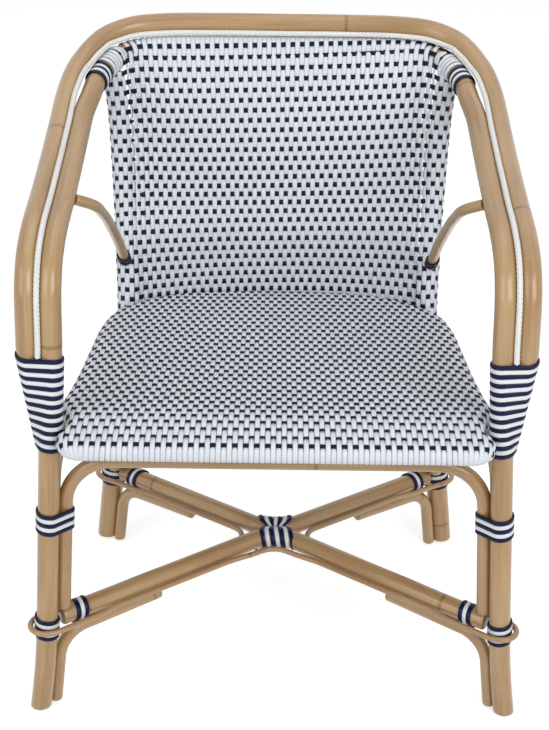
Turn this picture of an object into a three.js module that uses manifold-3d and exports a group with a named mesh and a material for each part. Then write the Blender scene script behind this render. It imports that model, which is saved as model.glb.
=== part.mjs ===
// A bistro armchair of bent rattan poles with a woven seat and back.
// Millimetres, +Z up, the sitter looks along -Y.
import * as THREE from 'three';
import { mergeVertices } from 'three/addons/utils/BufferGeometryUtils.js';
import Module from 'manifold-3d';

const wasm = await Module();
wasm.setup();

// Gap kept between pieces that touch
const clearance = 0.3;

// Poles and canes, by diameter
const hoopPole = 27.4;
const stretcherPole = 25.6;
const rearLegPole = 32;
const backPostPole = 26;
const archPole = 18.4;
const footBracePole = 17;
const braceSag = 1.2;
const armBracePole = 14;
const loopCane = 7.6;
const pipingCord = 7.6;
const seatFramePole = 20;
const backRailPole = 14;

// Binding strands
const strandWidth = 5.2;
const strandThickness = 2.2;
const strandPitch = 6;
const armWrapLoops = 11;
const navyLoops = 3;
const whiteLoops = 2;
const endNavyLoops = 2;
const endWhiteLoops = 1;
const centreNavyLoops = 4;
const centreWhiteLoops = 3;
const braceEndLoops = 2;

// Woven skins
const seatSkin = 3.6;
const seatSkinLip = 9;
const backSkin = 3;
const backPanelThickness = 4.5;

// Overall places of the two hoops
const armHalfSpread = 288.5;
const hoopDepth = 536;
const topHeight = 779;
const postTopHeight = 526;
const arisePairGap = 0.6;
const weavePairGap = 4.8;
const pipingLift = 4.4;
const armFlare = 6.1;
const frontPostHalfSpread = armHalfSpread + armFlare - hoopPole - arisePairGap;
const frontPostSplay = 24;
const frontFootKick = 6.6;
const armWrapBottom = postTopHeight - strandPitch - 2 * armWrapLoops * strandPitch;
const taperEnd = armWrapBottom + strandWidth;
const outerTipHeight = armWrapBottom + hoopPole;

// Seat
const seatHeight = 434;
const seatFrontDrop = 11;
const seatFrontBlend = 21;
const seatBackDrop = 15;
const seatSag = 4;
const seatSideInset = 22;
const seatBackGap = 18.5;

// Back
const backRecline = 100;
const backRailDrop = 63;
const backRailHeight = seatHeight - backRailDrop;
const backRailDepth = hoopDepth - backRecline;

// Rear legs and back posts
const rearFootInset = 7.6;
const rearLegSplay = 49.2;
const rearFootForward = 10;
const rearLegRake = 32;
const rearFootHalfSpread = frontPostHalfSpread - rearFootInset;
const rearFootDepth = backRailDepth - rearFootForward;
const postSeatHalfSpread = rearFootHalfSpread - rearLegSplay;
const postSeatDepth = rearFootDepth - rearLegRake;
const postBendHeight = 425;

// Stretchers, braces and arches
const frontJointHeight = 136.5;
const rearJointHeight = 123;
const crossHeight = 135.5;
const crossSetBack = 9;
const crossDepth = rearFootDepth / 2 + crossSetBack;
const stretcherBend = 50;
const frontArchDrop = 66.4;
const frontArchHeight = seatHeight - frontArchDrop;
const archBend = 52;
const frontArchBend = 63;
const braceBend = 40;
const caneDrop = 5.4;
const hairpinBend = 28;
const frontBraceReach = 172;
const rearBraceReach = 160;
const midBindingDrop = 16.6;
const glideHeight = 3;
const glideDiameter = 20;

// Arm braces
const armBraceStartDepth = 140;
const armBraceEndHeight = 473;

// Facets
const poleSides = 10;
const thinSides = 8;
const caneSides = 6;
const loopSteps = 8;
const pathTurn = 11;
const caneTurn = 18;

const rattan = 0xc4a27a;
const rattanDark = 0xb08c62;
const navy = 0x17233f;
const white = 0xe8ecf1;
const weaveTone = 0xb9c0cc;
const glideTone = 0x2b2623;

const group = new THREE.Group();
const V = (x, y, z) => new THREE.Vector3(x, y, z);
const up = V(0, 0, 1);

function add(name, geometry, color, roughness) {
  const material = new THREE.MeshStandardMaterial({ color, roughness, metalness: 0 });
  const mesh = new THREE.Mesh(geometry, material);
  mesh.name = name;
  group.add(mesh);
  return mesh;
}

// Geometry from plain lists of points and triangles
function solid(points, triangles) {
  const geometry = new THREE.BufferGeometry();
  const flat = points.flatMap((p) => [p.x, p.y, p.z]);
  geometry.setAttribute('position', new THREE.Float32BufferAttribute(flat, 3));
  geometry.setIndex(triangles);
  return geometry;
}

function toManifold(geometry) {
  const bare = geometry.clone();
  bare.deleteAttribute('normal');
  bare.deleteAttribute('uv');
  const merged = mergeVertices(bare);
  const vertProperties = new Float32Array(merged.attributes.position.array);
  const triVerts = new Uint32Array(merged.index.array);
  return new wasm.Manifold(new wasm.Mesh({ numProp: 3, vertProperties, triVerts }));
}

function fromManifold(body) {
  const mesh = body.getMesh();
  const geometry = new THREE.BufferGeometry();
  const step = mesh.numProp;
  const count = mesh.vertProperties.length / step;
  const flat = new Float32Array(count * 3);
  for (let i = 0; i < count; i += 1) {
    for (let k = 0; k < 3; k += 1) flat[i * 3 + k] = mesh.vertProperties[i * step + k];
  }
  geometry.setAttribute('position', new THREE.BufferAttribute(flat, 3));
  geometry.setIndex(Array.from(mesh.triVerts));
  return geometry;
}

function mirrored(points) {
  return points.map((p) => V(-p.x, p.y, p.z));
}

// Mirror a geometry across the middle plane and turn its triangles over
function mirrorGeometry(geometry) {
  const copy = geometry.clone();
  copy.scale(-1, 1, 1);
  const index = Array.from(copy.index.array);
  for (let i = 0; i < index.length; i += 3) {
    const keep = index[i];
    index[i] = index[i + 1];
    index[i + 1] = keep;
  }
  copy.setIndex(index);
  return copy;
}

function smooth(points, count, closed = false) {
  return new THREE.CatmullRomCurve3(points, closed, 'centripetal').getSpacedPoints(count);
}

// Drop points where the path hardly turns
function thin(points, turnDegrees, longest) {
  const out = [points[0]];
  let last = 0;
  for (let i = 1; i < points.length - 1; i += 1) {
    const from = points[last];
    const a = points[i].clone().sub(from);
    const b = points[i + 1].clone().sub(points[i]);
    const first = points[last + 1].clone().sub(from);
    const turn = THREE.MathUtils.radToDeg(first.angleTo(b));
    if (turn > turnDegrees || a.length() > longest) {
      out.push(points[i]);
      last = i;
    }
  }
  out.push(points[points.length - 1]);
  return out;
}

// A polyline whose inner corners are rounded with true arcs
function filleted(points, radius, steps) {
  const out = [points[0]];
  for (let i = 1; i < points.length - 1; i += 1) {
    const corner = points[i];
    const back = points[i - 1].clone().sub(corner).normalize();
    const ahead = points[i + 1].clone().sub(corner).normalize();
    const half = back.angleTo(ahead) / 2;
    const centre = back.clone().add(ahead).normalize().multiplyScalar(radius / Math.sin(half)).add(corner);
    const start = back.clone().multiplyScalar(radius / Math.tan(half)).add(corner);
    const end = ahead.clone().multiplyScalar(radius / Math.tan(half)).add(corner);
    const a = start.clone().sub(centre);
    const b = end.clone().sub(centre);
    const angle = a.angleTo(b);
    for (let k = 0; k <= steps; k += 1) {
      const t = k / steps;
      const p = a.clone().multiplyScalar(Math.sin((1 - t) * angle) / Math.sin(angle));
      out.push(p.add(b.clone().multiplyScalar(Math.sin(t * angle) / Math.sin(angle))).add(centre));
    }
  }
  out.push(points[points.length - 1]);
  return out;
}

function tangentsOf(points, closed) {
  const n = points.length;
  return points.map((p, i) => {
    const before = closed ? points[(i + n - 1) % n] : points[Math.max(i - 1, 0)];
    const after = closed ? points[(i + 1) % n] : points[Math.min(i + 1, n - 1)];
    const a = p.clone().sub(before);
    const b = after.clone().sub(p);
    if (a.length() === 0) return b.normalize();
    if (b.length() === 0) return a.normalize();
    return a.normalize().add(b.normalize()).normalize();
  });
}

// A round pole along a path; level ends are cut flat at the height of the end points
function pole(points, radius, sides, options = {}) {
  const closed = options.closed === true;
  const n = points.length;
  const radiusAt = typeof radius === 'function' ? radius : () => radius;
  const tangents = tangentsOf(points, closed);
  const vertices = [];
  let normal = null;
  for (let i = 0; i < n; i += 1) {
    const t = tangents[i];
    if (closed || normal === null) {
      const hint = Math.abs(t.z) > Math.SQRT1_2 ? V(1, 0, 0) : up;
      normal = new THREE.Vector3().crossVectors(hint, t).normalize();
    } else {
      normal.addScaledVector(t, -normal.dot(t)).normalize();
    }
    const side = new THREE.Vector3().crossVectors(t, normal);
    for (let k = 0; k < sides; k += 1) {
      const angle = (2 * Math.PI * k) / sides;
      const offset = normal.clone().multiplyScalar(Math.cos(angle) * radiusAt(i, n, points[i]));
      offset.addScaledVector(side, Math.sin(angle) * radiusAt(i, n, points[i]));
      const level = (i === 0 && options.levelStart) || (i === n - 1 && options.levelEnd);
      if (level) offset.addScaledVector(t, -offset.z / t.z);
      vertices.push(points[i].clone().add(offset));
    }
  }
  const triangles = [];
  const rings = closed ? n : n - 1;
  for (let i = 0; i < rings; i += 1) {
    const j = (i + 1) % n;
    for (let k = 0; k < sides; k += 1) {
      const m = (k + 1) % sides;
      const a = i * sides + k;
      const b = i * sides + m;
      const c = j * sides + m;
      const d = j * sides + k;
      triangles.push(a, b, c, a, c, d);
    }
  }
  if (!closed) {
    for (let k = 1; k < sides - 1; k += 1) {
      triangles.push(0, k + 1, k);
      const base = (n - 1) * sides;
      triangles.push(base, base + k, base + k + 1);
    }
  }
  return solid(vertices, triangles);
}

// Points of the polygon that just holds a set of circles, seen along the winding's axis
function hullCorner(circles, step, steps, cover) {
  const reach = (k) => {
    const angle = (2 * Math.PI * k) / steps;
    const c = Math.cos(angle);
    const s = Math.sin(angle);
    return Math.max(...circles.map((o) => o.x * c + o.y * s + o.r + cover));
  };
  const a = (2 * Math.PI * step) / steps;
  const b = (2 * Math.PI * (step + 1)) / steps;
  const ha = reach(step);
  const hb = reach(step + 1);
  const det = Math.sin(b - a);
  const x = (ha * Math.sin(b) - hb * Math.sin(a)) / det;
  const y = (hb * Math.cos(a) - ha * Math.cos(b)) / det;
  const mid = (a + b) / 2;
  return { x, y, ox: Math.cos(mid), oy: Math.sin(mid) };
}

const leastGaps = [];

// One unbroken strand wound round a bundle of poles.
// place(h, x, y) gives the point in space at height h along the winding, circles(h) the bundle there.
function winding(name, place, circles, start, loops, steps, turned) {
  const points = [];
  const outward = [];
  const along = [];
  const cover = clearance + strandThickness / 2;
  const pitch = 2 * strandPitch;
  const total = loops * steps;
  for (let j = 0; j <= total; j += 1) {
    const h = start + (pitch * j) / steps;
    const corner = hullCorner(circles(h), (j + turned) % steps, steps, cover);
    const p = place(h, corner.x, corner.y);
    const o = place(h, corner.x + corner.ox, corner.y + corner.oy).sub(p).normalize();
    const q = place(h + strandPitch, corner.x, corner.y).sub(p).normalize();
    points.push(p);
    outward.push(o);
    along.push(q);
  }
  const lead = points[0].clone().sub(points[1]).normalize().multiplyScalar(strandWidth / 2);
  const tail = points[total].clone().sub(points[total - 1]).normalize().multiplyScalar(strandWidth / 2);
  points.unshift(points[0].clone().add(lead));
  outward.unshift(outward[0]);
  along.unshift(along[0]);
  points.push(points[total + 1].clone().add(tail));
  outward.push(outward[total + 1]);
  along.push(along[total + 1]);
  let least = Infinity;
  for (let i = 0; i < points.length; i += 1) {
    for (let j = i + Math.ceil(steps / 2); j < points.length; j += 1) {
      least = Math.min(least, points[i].distanceTo(points[j]) - strandWidth);
    }
  }
  leastGaps.push(`${name} ${least.toFixed(2)}`);
  const vertices = [];
  const mitre = 1 / Math.cos(Math.PI / steps);
  points.forEach((p, i) => {
    const w = strandWidth / 2;
    const t = (strandThickness / 2) * mitre;
    [[1, -1], [1, 1], [-1, 1], [-1, -1]].forEach(([a, o]) => {
      vertices.push(p.clone().addScaledVector(along[i], a * w).addScaledVector(outward[i], o * t));
    });
  });
  const triangles = [];
  const turn = new THREE.Vector3().crossVectors(outward[1], along[1]);
  const forward = turn.dot(points[2].clone().sub(points[1])) > 0;
  for (let i = 0; i < points.length - 1; i += 1) {
    for (let k = 0; k < 4; k += 1) {
      const m = (k + 1) % 4;
      const a = i * 4 + k;
      const b = i * 4 + m;
      const c = b + 4;
      const d = a + 4;
      if (forward) triangles.push(a, c, b, a, d, c);
      else triangles.push(a, b, c, a, c, d);
    }
  }
  const last = (points.length - 1) * 4;
  if (forward) triangles.push(0, 1, 2, 0, 2, 3, last, last + 2, last + 1, last, last + 3, last + 2);
  else triangles.push(0, 2, 1, 0, 3, 2, last, last + 1, last + 2, last, last + 2, last + 3);
  return solid(vertices, triangles);
}

// Outer hoop: half of its axis in shares of the arm spread, the hoop depth and the rise above the post
const outerShares = [
  [1.0165, 0.011, 0.276],
  [1.0145, 0.052, 0.403],
  [1.011, 0.131, 0.484],
  [1.005, 0.261, 0.541],
  [1.001, 0.41, 0.604],
  [0.9965, 0.56, 0.68],
  [0.988, 0.709, 0.775],
  [0.967, 0.793, 0.838],
  [0.94, 0.843, 0.874],
  [0.9, 0.892, 0.915],
  [0.842, 0.94, 0.952],
  [0.725, 0.9795, 0.985],
  [0.572, 0.995, 0.997],
  [0.312, 1, 1],
  [0, 1, 1],
];
const legSlope = frontPostSplay / (postTopHeight - frontJointHeight);
const frontPostX = (z) => frontPostHalfSpread + (postTopHeight - z) * legSlope;
const hoopRise = topHeight - postTopHeight;
const hoopR = hoopPole / 2;
const pairSpacing = hoopPole + arisePairGap;
const outerTop = outerShares.map(([x, y, z]) => V(x * armHalfSpread, y * hoopDepth, postTopHeight + z * hoopRise));
const outerHalf = [
  V(frontPostX(armWrapBottom) + pairSpacing, 0, armWrapBottom),
  V(frontPostX((armWrapBottom + postTopHeight) / 2) + pairSpacing, 0, (armWrapBottom + postTopHeight) / 2),
  V(frontPostX(postTopHeight) + pairSpacing, 0, postTopHeight),
  ...outerTop,
];
const outerWhole = [...outerHalf, ...mirrored(outerHalf.slice(0, -1)).reverse()];
const outerFine = smooth(outerWhole, 480);

// The inner hoop lies beside the outer one, in the plane that the reclined back faces
const recline = V(0, topHeight - backRailHeight, backRailDepth - hoopDepth).normalize();
const tangentsFine = tangentsOf(outerFine, false);
const sideways = tangentsFine.map((t) => new THREE.Vector3().crossVectors(t, recline).normalize());
const weaveStartShare = 0.6;
const weaveFullShare = 0.72;
const ramp = (p) => THREE.MathUtils.smoothstep(p.y / hoopDepth, weaveStartShare, weaveFullShare);
const spacingAt = (p) => pairSpacing + ramp(p) * (weavePairGap - arisePairGap);
const innerFine = outerFine.map((p, i) => p.clone().addScaledVector(sideways[i], spacingAt(p)));
const frontLegAxis = (z) => {
  const kickShare = THREE.MathUtils.clamp(1 - z / frontJointHeight, 0, 1);
  return V(frontPostX(z) + frontFootKick * kickShare * kickShare, 0, z);
};
const legHeights = [glideHeight + clearance, frontJointHeight / 3, (2 * frontJointHeight) / 3, frontJointHeight];
const rightLeg = [...legHeights, (frontJointHeight + postTopHeight) / 2, postTopHeight].map((z) => frontLegAxis(z));
// The same places along both hoops and the piping keep their facets in step
const middleIndex = (outerFine.length - 1) / 2;
const firstIndex = outerFine.findIndex((p) => p.z > postTopHeight);
const halfIndices = thin(
  outerFine.slice(firstIndex, middleIndex + 1).map((p, i) => Object.assign(p.clone(), { place: firstIndex + i })),
  pathTurn,
  hoopDepth / 4,
).map((p) => p.place);
const rightPlaces = (fine) => halfIndices.map((i) => fine[i]);
const wholePlaces = (fine) => {
  const right = rightPlaces(fine);
  return [...right, ...mirrored(right.slice(0, -1)).reverse()];
};
const innerPath = [...rightLeg, ...wholePlaces(innerFine), ...mirrored(rightLeg).reverse()];
const innerHoop = pole(innerPath, hoopR, poleSides, { levelStart: true, levelEnd: true });
add('inner_hoop', innerHoop, rattan, 0.38);

// The outer hoop's ends taper against the inner post, under the wraps
const taperAt = (z) => THREE.MathUtils.clamp((z - taperEnd) / (postTopHeight - taperEnd), 0, 1);
const outerRadius = (z) => hoopR * taperAt(z);
const taperPoint = (z) => V(frontPostX(z) + hoopR + outerRadius(z) + arisePairGap, 0, z);
const taperStepCount = 3;
const taperPoints = Array.from({ length: taperStepCount }, (_, i) => {
  return taperPoint(outerTipHeight + ((postTopHeight - outerTipHeight) * i) / taperStepCount);
});
const outerPath = [...taperPoints, ...wholePlaces(outerFine), ...mirrored(taperPoints).reverse()];
const outerHoop = pole(outerPath, (i, n, p) => outerRadius(p.z), poleSides, { levelStart: true, levelEnd: true });
add('outer_hoop', outerHoop, rattan, 0.38);

// White piping in the groove between the two hoops
const cordR = pipingCord / 2;
const grooveSide = (p, i) => {
  const weave = ramp(p);
  const d = spacingAt(p);
  const toOuter = hoopR + cordR + clearance;
  const toInner = toOuter + weave * pipingLift;
  const x = (toOuter * toOuter - toInner * toInner + d * d) / (2 * d);
  const h = Math.sqrt(toOuter * toOuter - x * x);
  const face = new THREE.Vector3().crossVectors(tangentsFine[i], sideways[i]);
  return p.clone().addScaledVector(sideways[i], x).addScaledVector(face, h);
};
const wrapTop = armWrapBottom + armWrapLoops * 2 * strandPitch;
const pipingPath = wholePlaces(outerFine.map(grooveSide)).filter((p) => p.z > wrapTop + strandPitch + strandWidth);
add('piping', pole(pipingPath, cordR, caneSides), white, 0.55);

// Rear legs run up as the posts of the back and end under the inner hoop
const rearSlopeX = (rearFootHalfSpread - postSeatHalfSpread) / postBendHeight;
const rearSlopeY = (rearFootDepth - postSeatDepth) / postBendHeight;
const rearLegAxis = (z) => V(rearFootHalfSpread - rearSlopeX * z, rearFootDepth - rearSlopeY * z, z);
const postTopSpreadShare = 0.806;
const half = innerFine.slice(0, innerFine.length / 2);
const postTop = half.reduce((best, p) => {
  const want = armHalfSpread * postTopSpreadShare;
  const reachable = p.y > hoopDepth / 2;
  return reachable && Math.abs(p.x - want) < Math.abs(best.x - want) ? p : best;
}, half[half.length - 1]);
const postShares = [
  [0.25, 0.32, 0.19],
  [0.45, 0.72, 0.43],
  [0.68, 0.95, 0.76],
];
const postBase = rearLegAxis(postBendHeight);
const postPoints = postShares.map(([x, y, z]) => V(
  postBase.x + (postTop.x - postBase.x) * x,
  postBase.y + (postTop.y - postBase.y) * y,
  postBase.z + (postTop.z - postBase.z) * z,
));
const rearLegFine = smooth([
  rearLegAxis(glideHeight + clearance),
  rearLegAxis(postBendHeight / 3),
  rearLegAxis((2 * postBendHeight) / 3),
  rearLegAxis(postBendHeight - rearLegPole),
  ...postPoints,
  postTop,
], 90);
const rearR = rearLegPole / 2;
const postR = backPostPole / 2;
const archR = archPole / 2;
const frameR = seatFramePole / 2;
const skinInner = (frameR + clearance) / Math.cos(Math.PI / 8);
const skinOuter = skinInner + seatSkin;
const midBindingHeight = frontArchHeight - frontArchBend - midBindingDrop;
const postRadius = (p) => {
  const t = THREE.MathUtils.smoothstep(p.z, midBindingHeight, postBendHeight);
  return rearR + (postR - rearR) * t;
};
const rearPath = thin(rearLegFine, pathTurn / 2, seatHeight / 3);
const rearPole = (grow) => pole(rearPath, (i, n, p) => postRadius(p) + grow, poleSides, { levelStart: true });
const hoopCutter = toManifold(pole(innerPath, hoopR + clearance, poleSides));
const keepLargest = (body) => body.decompose().reduce((a, b) => (a.volume() > b.volume() ? a : b));
const cutByHoop = (geometry) => fromManifold(keepLargest(toManifold(geometry).subtract(hoopCutter)));
add('rear_leg_right', cutByHoop(rearPole(0)), rattanDark, 0.42);
add('rear_leg_left', cutByHoop(mirrorGeometry(rearPole(0))), rattanDark, 0.42);

// Bottom rail of the back between the posts
const railShares = [
  [0, 1],
  [0.3, 1],
  [0.5, 0.97],
  [0.65, 0.86],
  [0.78, 0.64],
  [0.9, 0.32],
];
const railEnd = rearLegAxis(backRailHeight);
const railHalf = railShares.map(([x, y]) => V(x * railEnd.x, railEnd.y + (backRailDepth - railEnd.y) * y, backRailHeight));
const railCurve = smooth([V(-railEnd.x, railEnd.y, railEnd.z), ...mirrored(railHalf.slice(1)).reverse(), ...railHalf, railEnd], 120);
const railPath = thin(railCurve, pathTurn, postSeatHalfSpread / 2);
const railR = backRailPole / 2;
const rearCutterRight = toManifold(rearPole(clearance));
const rearCutterLeft = toManifold(mirrorGeometry(rearPole(clearance)));
const railBody = toManifold(pole(railPath, railR, thinSides)).subtract(rearCutterRight).subtract(rearCutterLeft);
add('back_bottom_rail', fromManifold(railBody), rattanDark, 0.45);

// Woven back: a panel that wraps the posts, the hoop above and the rail below
const panelColumns = 14;
const panelRows = 6;
const panelShift = postR + clearance + backSkin - backPanelThickness / 2;
const panelShiftShares = [0.1, 0.4];
const along = (points, t) => {
  const lengths = [0];
  points.forEach((p, i) => {
    if (i > 0) lengths.push(lengths[i - 1] + p.distanceTo(points[i - 1]));
  });
  const want = t * lengths[lengths.length - 1];
  let i = 1;
  while (i < lengths.length - 1 && lengths[i] < want) i += 1;
  const f = (want - lengths[i - 1]) / (lengths[i] - lengths[i - 1]);
  return points[i - 1].clone().lerp(points[i], f);
};
const topCurve = innerFine.filter((p) => Math.abs(p.x) <= postTop.x && p.y > hoopDepth / 2).reverse();
const postCurve = [railEnd, ...rearLegFine.filter((p) => p.z > backRailHeight)];
const postCurveLeft = mirrored(postCurve);
// The stretched weave draws the middle of the sheet forward, nearly flat from post to post
const sheetDraw = 30;
const sheetEdge = 6;
const drawLow = 1.5;
const drawHigh = 0.75;
const drawBell = (w) => w ** drawLow * (1 - w) ** drawHigh;
const drawPeak = drawBell(drawLow / (drawLow + drawHigh));
const drawAt = (u, w) => sheetDraw * (1 - Math.abs(2 * u - 1) ** sheetEdge) * drawBell(w) / drawPeak;
const panelPoint = (u, w) => {
  const bottom = along(railCurve, u);
  const top = along(topCurve, u);
  const left = along(postCurveLeft, w);
  const right = along(postCurve, w);
  const p = bottom.clone().multiplyScalar(1 - w).addScaledVector(top, w);
  p.addScaledVector(left, 1 - u).addScaledVector(right, u);
  const c00 = along(railCurve, 0);
  const c10 = along(railCurve, 1);
  const c01 = along(topCurve, 0);
  const c11 = along(topCurve, 1);
  p.addScaledVector(c00, -(1 - u) * (1 - w)).addScaledVector(c10, -u * (1 - w));
  p.addScaledVector(c01, -(1 - u) * w).addScaledVector(c11, -u * w);
  p.y -= drawAt(u, w);
  return p;
};
function sheet(thickness) {
  const front = [];
  const back = [];
  for (let r = 0; r <= panelRows; r += 1) {
    for (let c = 0; c <= panelColumns; c += 1) {
      const u = c / panelColumns;
      const w = r / panelRows;
      const du = 1 / panelColumns;
      const p = panelPoint(u, w);
      const ahead = panelPoint(Math.min(u + du, 1), w).sub(panelPoint(Math.max(u - du, 0), w));
      const rise = panelPoint(u, Math.min(w + du, 1)).sub(panelPoint(u, Math.max(w - du, 0)));
      const normal = ahead.cross(rise).normalize();
      p.addScaledVector(normal, panelShift * THREE.MathUtils.smoothstep(w, panelShiftShares[0], panelShiftShares[1]));
      front.push(p.clone().addScaledVector(normal, thickness / 2));
      back.push(p.clone().addScaledVector(normal, -thickness / 2));
    }
  }
  const width = panelColumns + 1;
  const size = front.length;
  const triangles = [];
  for (let r = 0; r < panelRows; r += 1) {
    for (let c = 0; c < panelColumns; c += 1) {
      const a = r * width + c;
      const b = a + 1;
      const d = a + width;
      const e = d + 1;
      triangles.push(a, b, e, a, e, d);
      triangles.push(size + a, size + e, size + b, size + a, size + d, size + e);
    }
  }
  const rim = [];
  for (let c = 0; c < panelColumns; c += 1) rim.push(c);
  for (let r = 0; r < panelRows; r += 1) rim.push(r * width + panelColumns);
  for (let c = panelColumns; c > 0; c -= 1) rim.push(panelRows * width + c);
  for (let r = panelRows; r > 0; r -= 1) rim.push(r * width);
  rim.forEach((a, i) => {
    const b = rim[(i + 1) % rim.length];
    triangles.push(a, size + a, size + b, a, size + b, b);
  });
  return solid([...front, ...back], triangles);
}
const skinStart = backRailHeight + railR + clearance + backSkin;
const postSkin = pole(
  thin(rearLegFine.filter((p) => p.z > skinStart), pathTurn / 2, seatHeight / 3),
  (i, n, p) => postRadius(p) + clearance + backSkin,
  poleSides,
);
const topPlaces = wholePlaces(innerFine).filter((p) => Math.abs(p.x) < postTop.x && p.y > hoopDepth / 2);
const topPath = [postTop, ...topPlaces, V(-postTop.x, postTop.y, postTop.z)];
const topSkin = pole(topPath, hoopR + clearance + backSkin, poleSides);
const railSkinCurve = railCurve.filter((p) => p.distanceTo(railEnd) > rearLegPole && p.distanceTo(V(-railEnd.x, railEnd.y, railEnd.z)) > rearLegPole);
const railSkin = pole(thin(railSkinCurve, pathTurn, postSeatHalfSpread / 2), railR + clearance + backSkin, thinSides);
const outerCutter = toManifold(pole(outerPath, (i, n, p) => outerRadius(p.z) + clearance, poleSides));
const pipingCutter = toManifold(pole(pipingPath, cordR + clearance, caneSides));
const railCutter = toManifold(pole(railPath, railR + clearance, thinSides));
let back = toManifold(sheet(backPanelThickness));
[postSkin, mirrorGeometry(postSkin), topSkin, railSkin].forEach((piece) => {
  back = back.add(toManifold(piece));
});
[hoopCutter, rearCutterRight, rearCutterLeft, outerCutter, pipingCutter, railCutter].forEach((cutter) => {
  back = back.subtract(cutter);
});
add('back_weave', fromManifold(back), weaveTone, 0.5);

// Seat frame: along the front, close round each post, then shares of the half width and the depth
const strandCorner = (r) => (r + clearance + strandThickness) / Math.cos(Math.PI / loopSteps);
const postReach = skinOuter + strandCorner(hoopR) + 5 * clearance;
const seatPostX = frontPostX(seatHeight - skinOuter);
const seatHalfWidth = seatPostX - seatSideInset;
const seatDepth = backRailDepth - seatBackGap;
const jogDegrees = [47, 66, 86, 106];
const jogPoints = jogDegrees.map((degrees) => {
  const a = THREE.MathUtils.degToRad(degrees);
  return V(seatPostX - postReach * Math.sin(a), -postReach * Math.cos(a), 0);
});
const cornerShares = [[0.5, 1], [0.8, 1], [0.94, 1], [0.98, 0.9]];
const seatFront = cornerShares.map(([x, y]) => V(x * seatHalfWidth, -y * postReach, 0));
const seatShares = [
  [1, 0.107],
  [0.984, 0.191],
  [0.97, 0.263],
  [0.958, 0.334],
  [0.948, 0.408],
  [0.94, 0.477],
  [0.931, 0.544],
  [0.923, 0.625],
  [0.909, 0.704],
  [0.885, 0.776],
  [0.857, 0.819],
  [0.813, 0.854],
  [0.748, 0.891],
  [0.664, 0.931],
  [0.563, 0.962],
  [0.451, 0.981],
  [0.241, 0.995],
];
const seatSide = seatShares.map(([x, y]) => V(x * seatHalfWidth, y * seatDepth, 0));
const seatHalf = [...seatFront, ...jogPoints, ...seatSide];
const seatControl = [
  V(0, -postReach, 0),
  ...seatHalf,
  V(0, seatDepth, 0),
  ...mirrored(seatHalf).reverse(),
];
const seatTurn = 26;
const seatFine = smooth(seatControl, 480, true).slice(0, -1);
const seatRight = seatFine.slice(0, seatFine.length / 2 + 1);
const frameRight = thin(seatRight, seatTurn, seatHalfWidth / 4);
// Height of the woven seat: it falls over the front and leans back from there
const seatTop = (y) => {
  const front = THREE.MathUtils.clamp(1 - (y + postReach) / (seatFrontBlend + postReach), 0, 1);
  const rear = THREE.MathUtils.clamp((y - seatFrontBlend) / (seatDepth - seatFrontBlend), 0, 1);
  return seatHeight - seatFrontDrop * front * front - seatBackDrop * rear;
};
const frameFlat = [...frameRight, ...mirrored(frameRight.slice(1, -1)).reverse()];
const seatCount = frameFlat.length;
const framePath = frameFlat.map((p) => V(p.x, p.y, seatTop(p.y) - skinOuter));
const frameOut = tangentsOf(framePath, true).map((t) => V(t.y, -t.x, 0).normalize());
add('seat_frame', pole(framePath, frameR, thinSides, { closed: true }), rattanDark, 0.45);

// Woven seat: a skin that rolls over the frame and turns in below it
const seatCentre = V(0, seatDepth / 2, 0);
const innerRingShares = [0.45, 0.84, 0.94];
const sagAt = (share) => seatSag * (1 - share * share);
const rings = [];
const ringAt = (place) => rings.push(framePath.map(place));
const interior = (share, sink) => (p, i) => {
  const flat = V(p.x, p.y, 0).addScaledVector(frameOut[i], -skinOuter / 2);
  const q = seatCentre.clone().lerp(flat, share);
  q.z = seatTop(q.y) - sink - sagAt(share);
  return q;
};
const roll = (radius, degrees) => (p, i) => {
  const a = THREE.MathUtils.degToRad(degrees);
  const q = p.clone().addScaledVector(frameOut[i], radius * Math.cos(a));
  q.z += radius * Math.sin(a);
  return q;
};
const lip = (radius) => (p, i) => {
  const q = p.clone().addScaledVector(frameOut[i], -seatSkinLip);
  q.z -= radius;
  return q;
};
innerRingShares.forEach((share) => ringAt(interior(share, 0)));
[90, 45, 0, -45, -90].forEach((degrees) => ringAt(roll(skinOuter, degrees)));
ringAt(lip(skinOuter));
ringAt(lip(skinInner));
[-90, -45, 0, 45, 90].forEach((degrees) => ringAt(roll(skinInner, degrees)));
[...innerRingShares].reverse().forEach((share) => ringAt(interior(share, seatSkin)));
const hubTop = V(seatCentre.x, seatCentre.y, seatTop(seatCentre.y) - sagAt(0));
const hubLow = V(seatCentre.x, seatCentre.y, hubTop.z - seatSkin);
const seatPoints = [...rings.flat(), hubTop, hubLow];
const seatTriangles = [];
for (let i = 0; i < seatCount; i += 1) {
  const j = (i + 1) % seatCount;
  seatTriangles.push(rings.length * seatCount, i, j);
  const base = (rings.length - 1) * seatCount;
  seatTriangles.push(rings.length * seatCount + 1, base + j, base + i);
  for (let r = 0; r < rings.length - 1; r += 1) {
    const a = r * seatCount;
    const b = a + seatCount;
    seatTriangles.push(a + i, b + i, b + j, a + i, b + j, a + j);
  }
}
const backKeepOut = [postSkin, mirrorGeometry(postSkin)].map((piece) => toManifold(piece));
const seatBody = backKeepOut.reduce((body, cutter) => body.subtract(cutter), toManifold(solid(seatPoints, seatTriangles)));
add('seat_weave', fromManifold(seatBody), weaveTone, 0.5);

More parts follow.
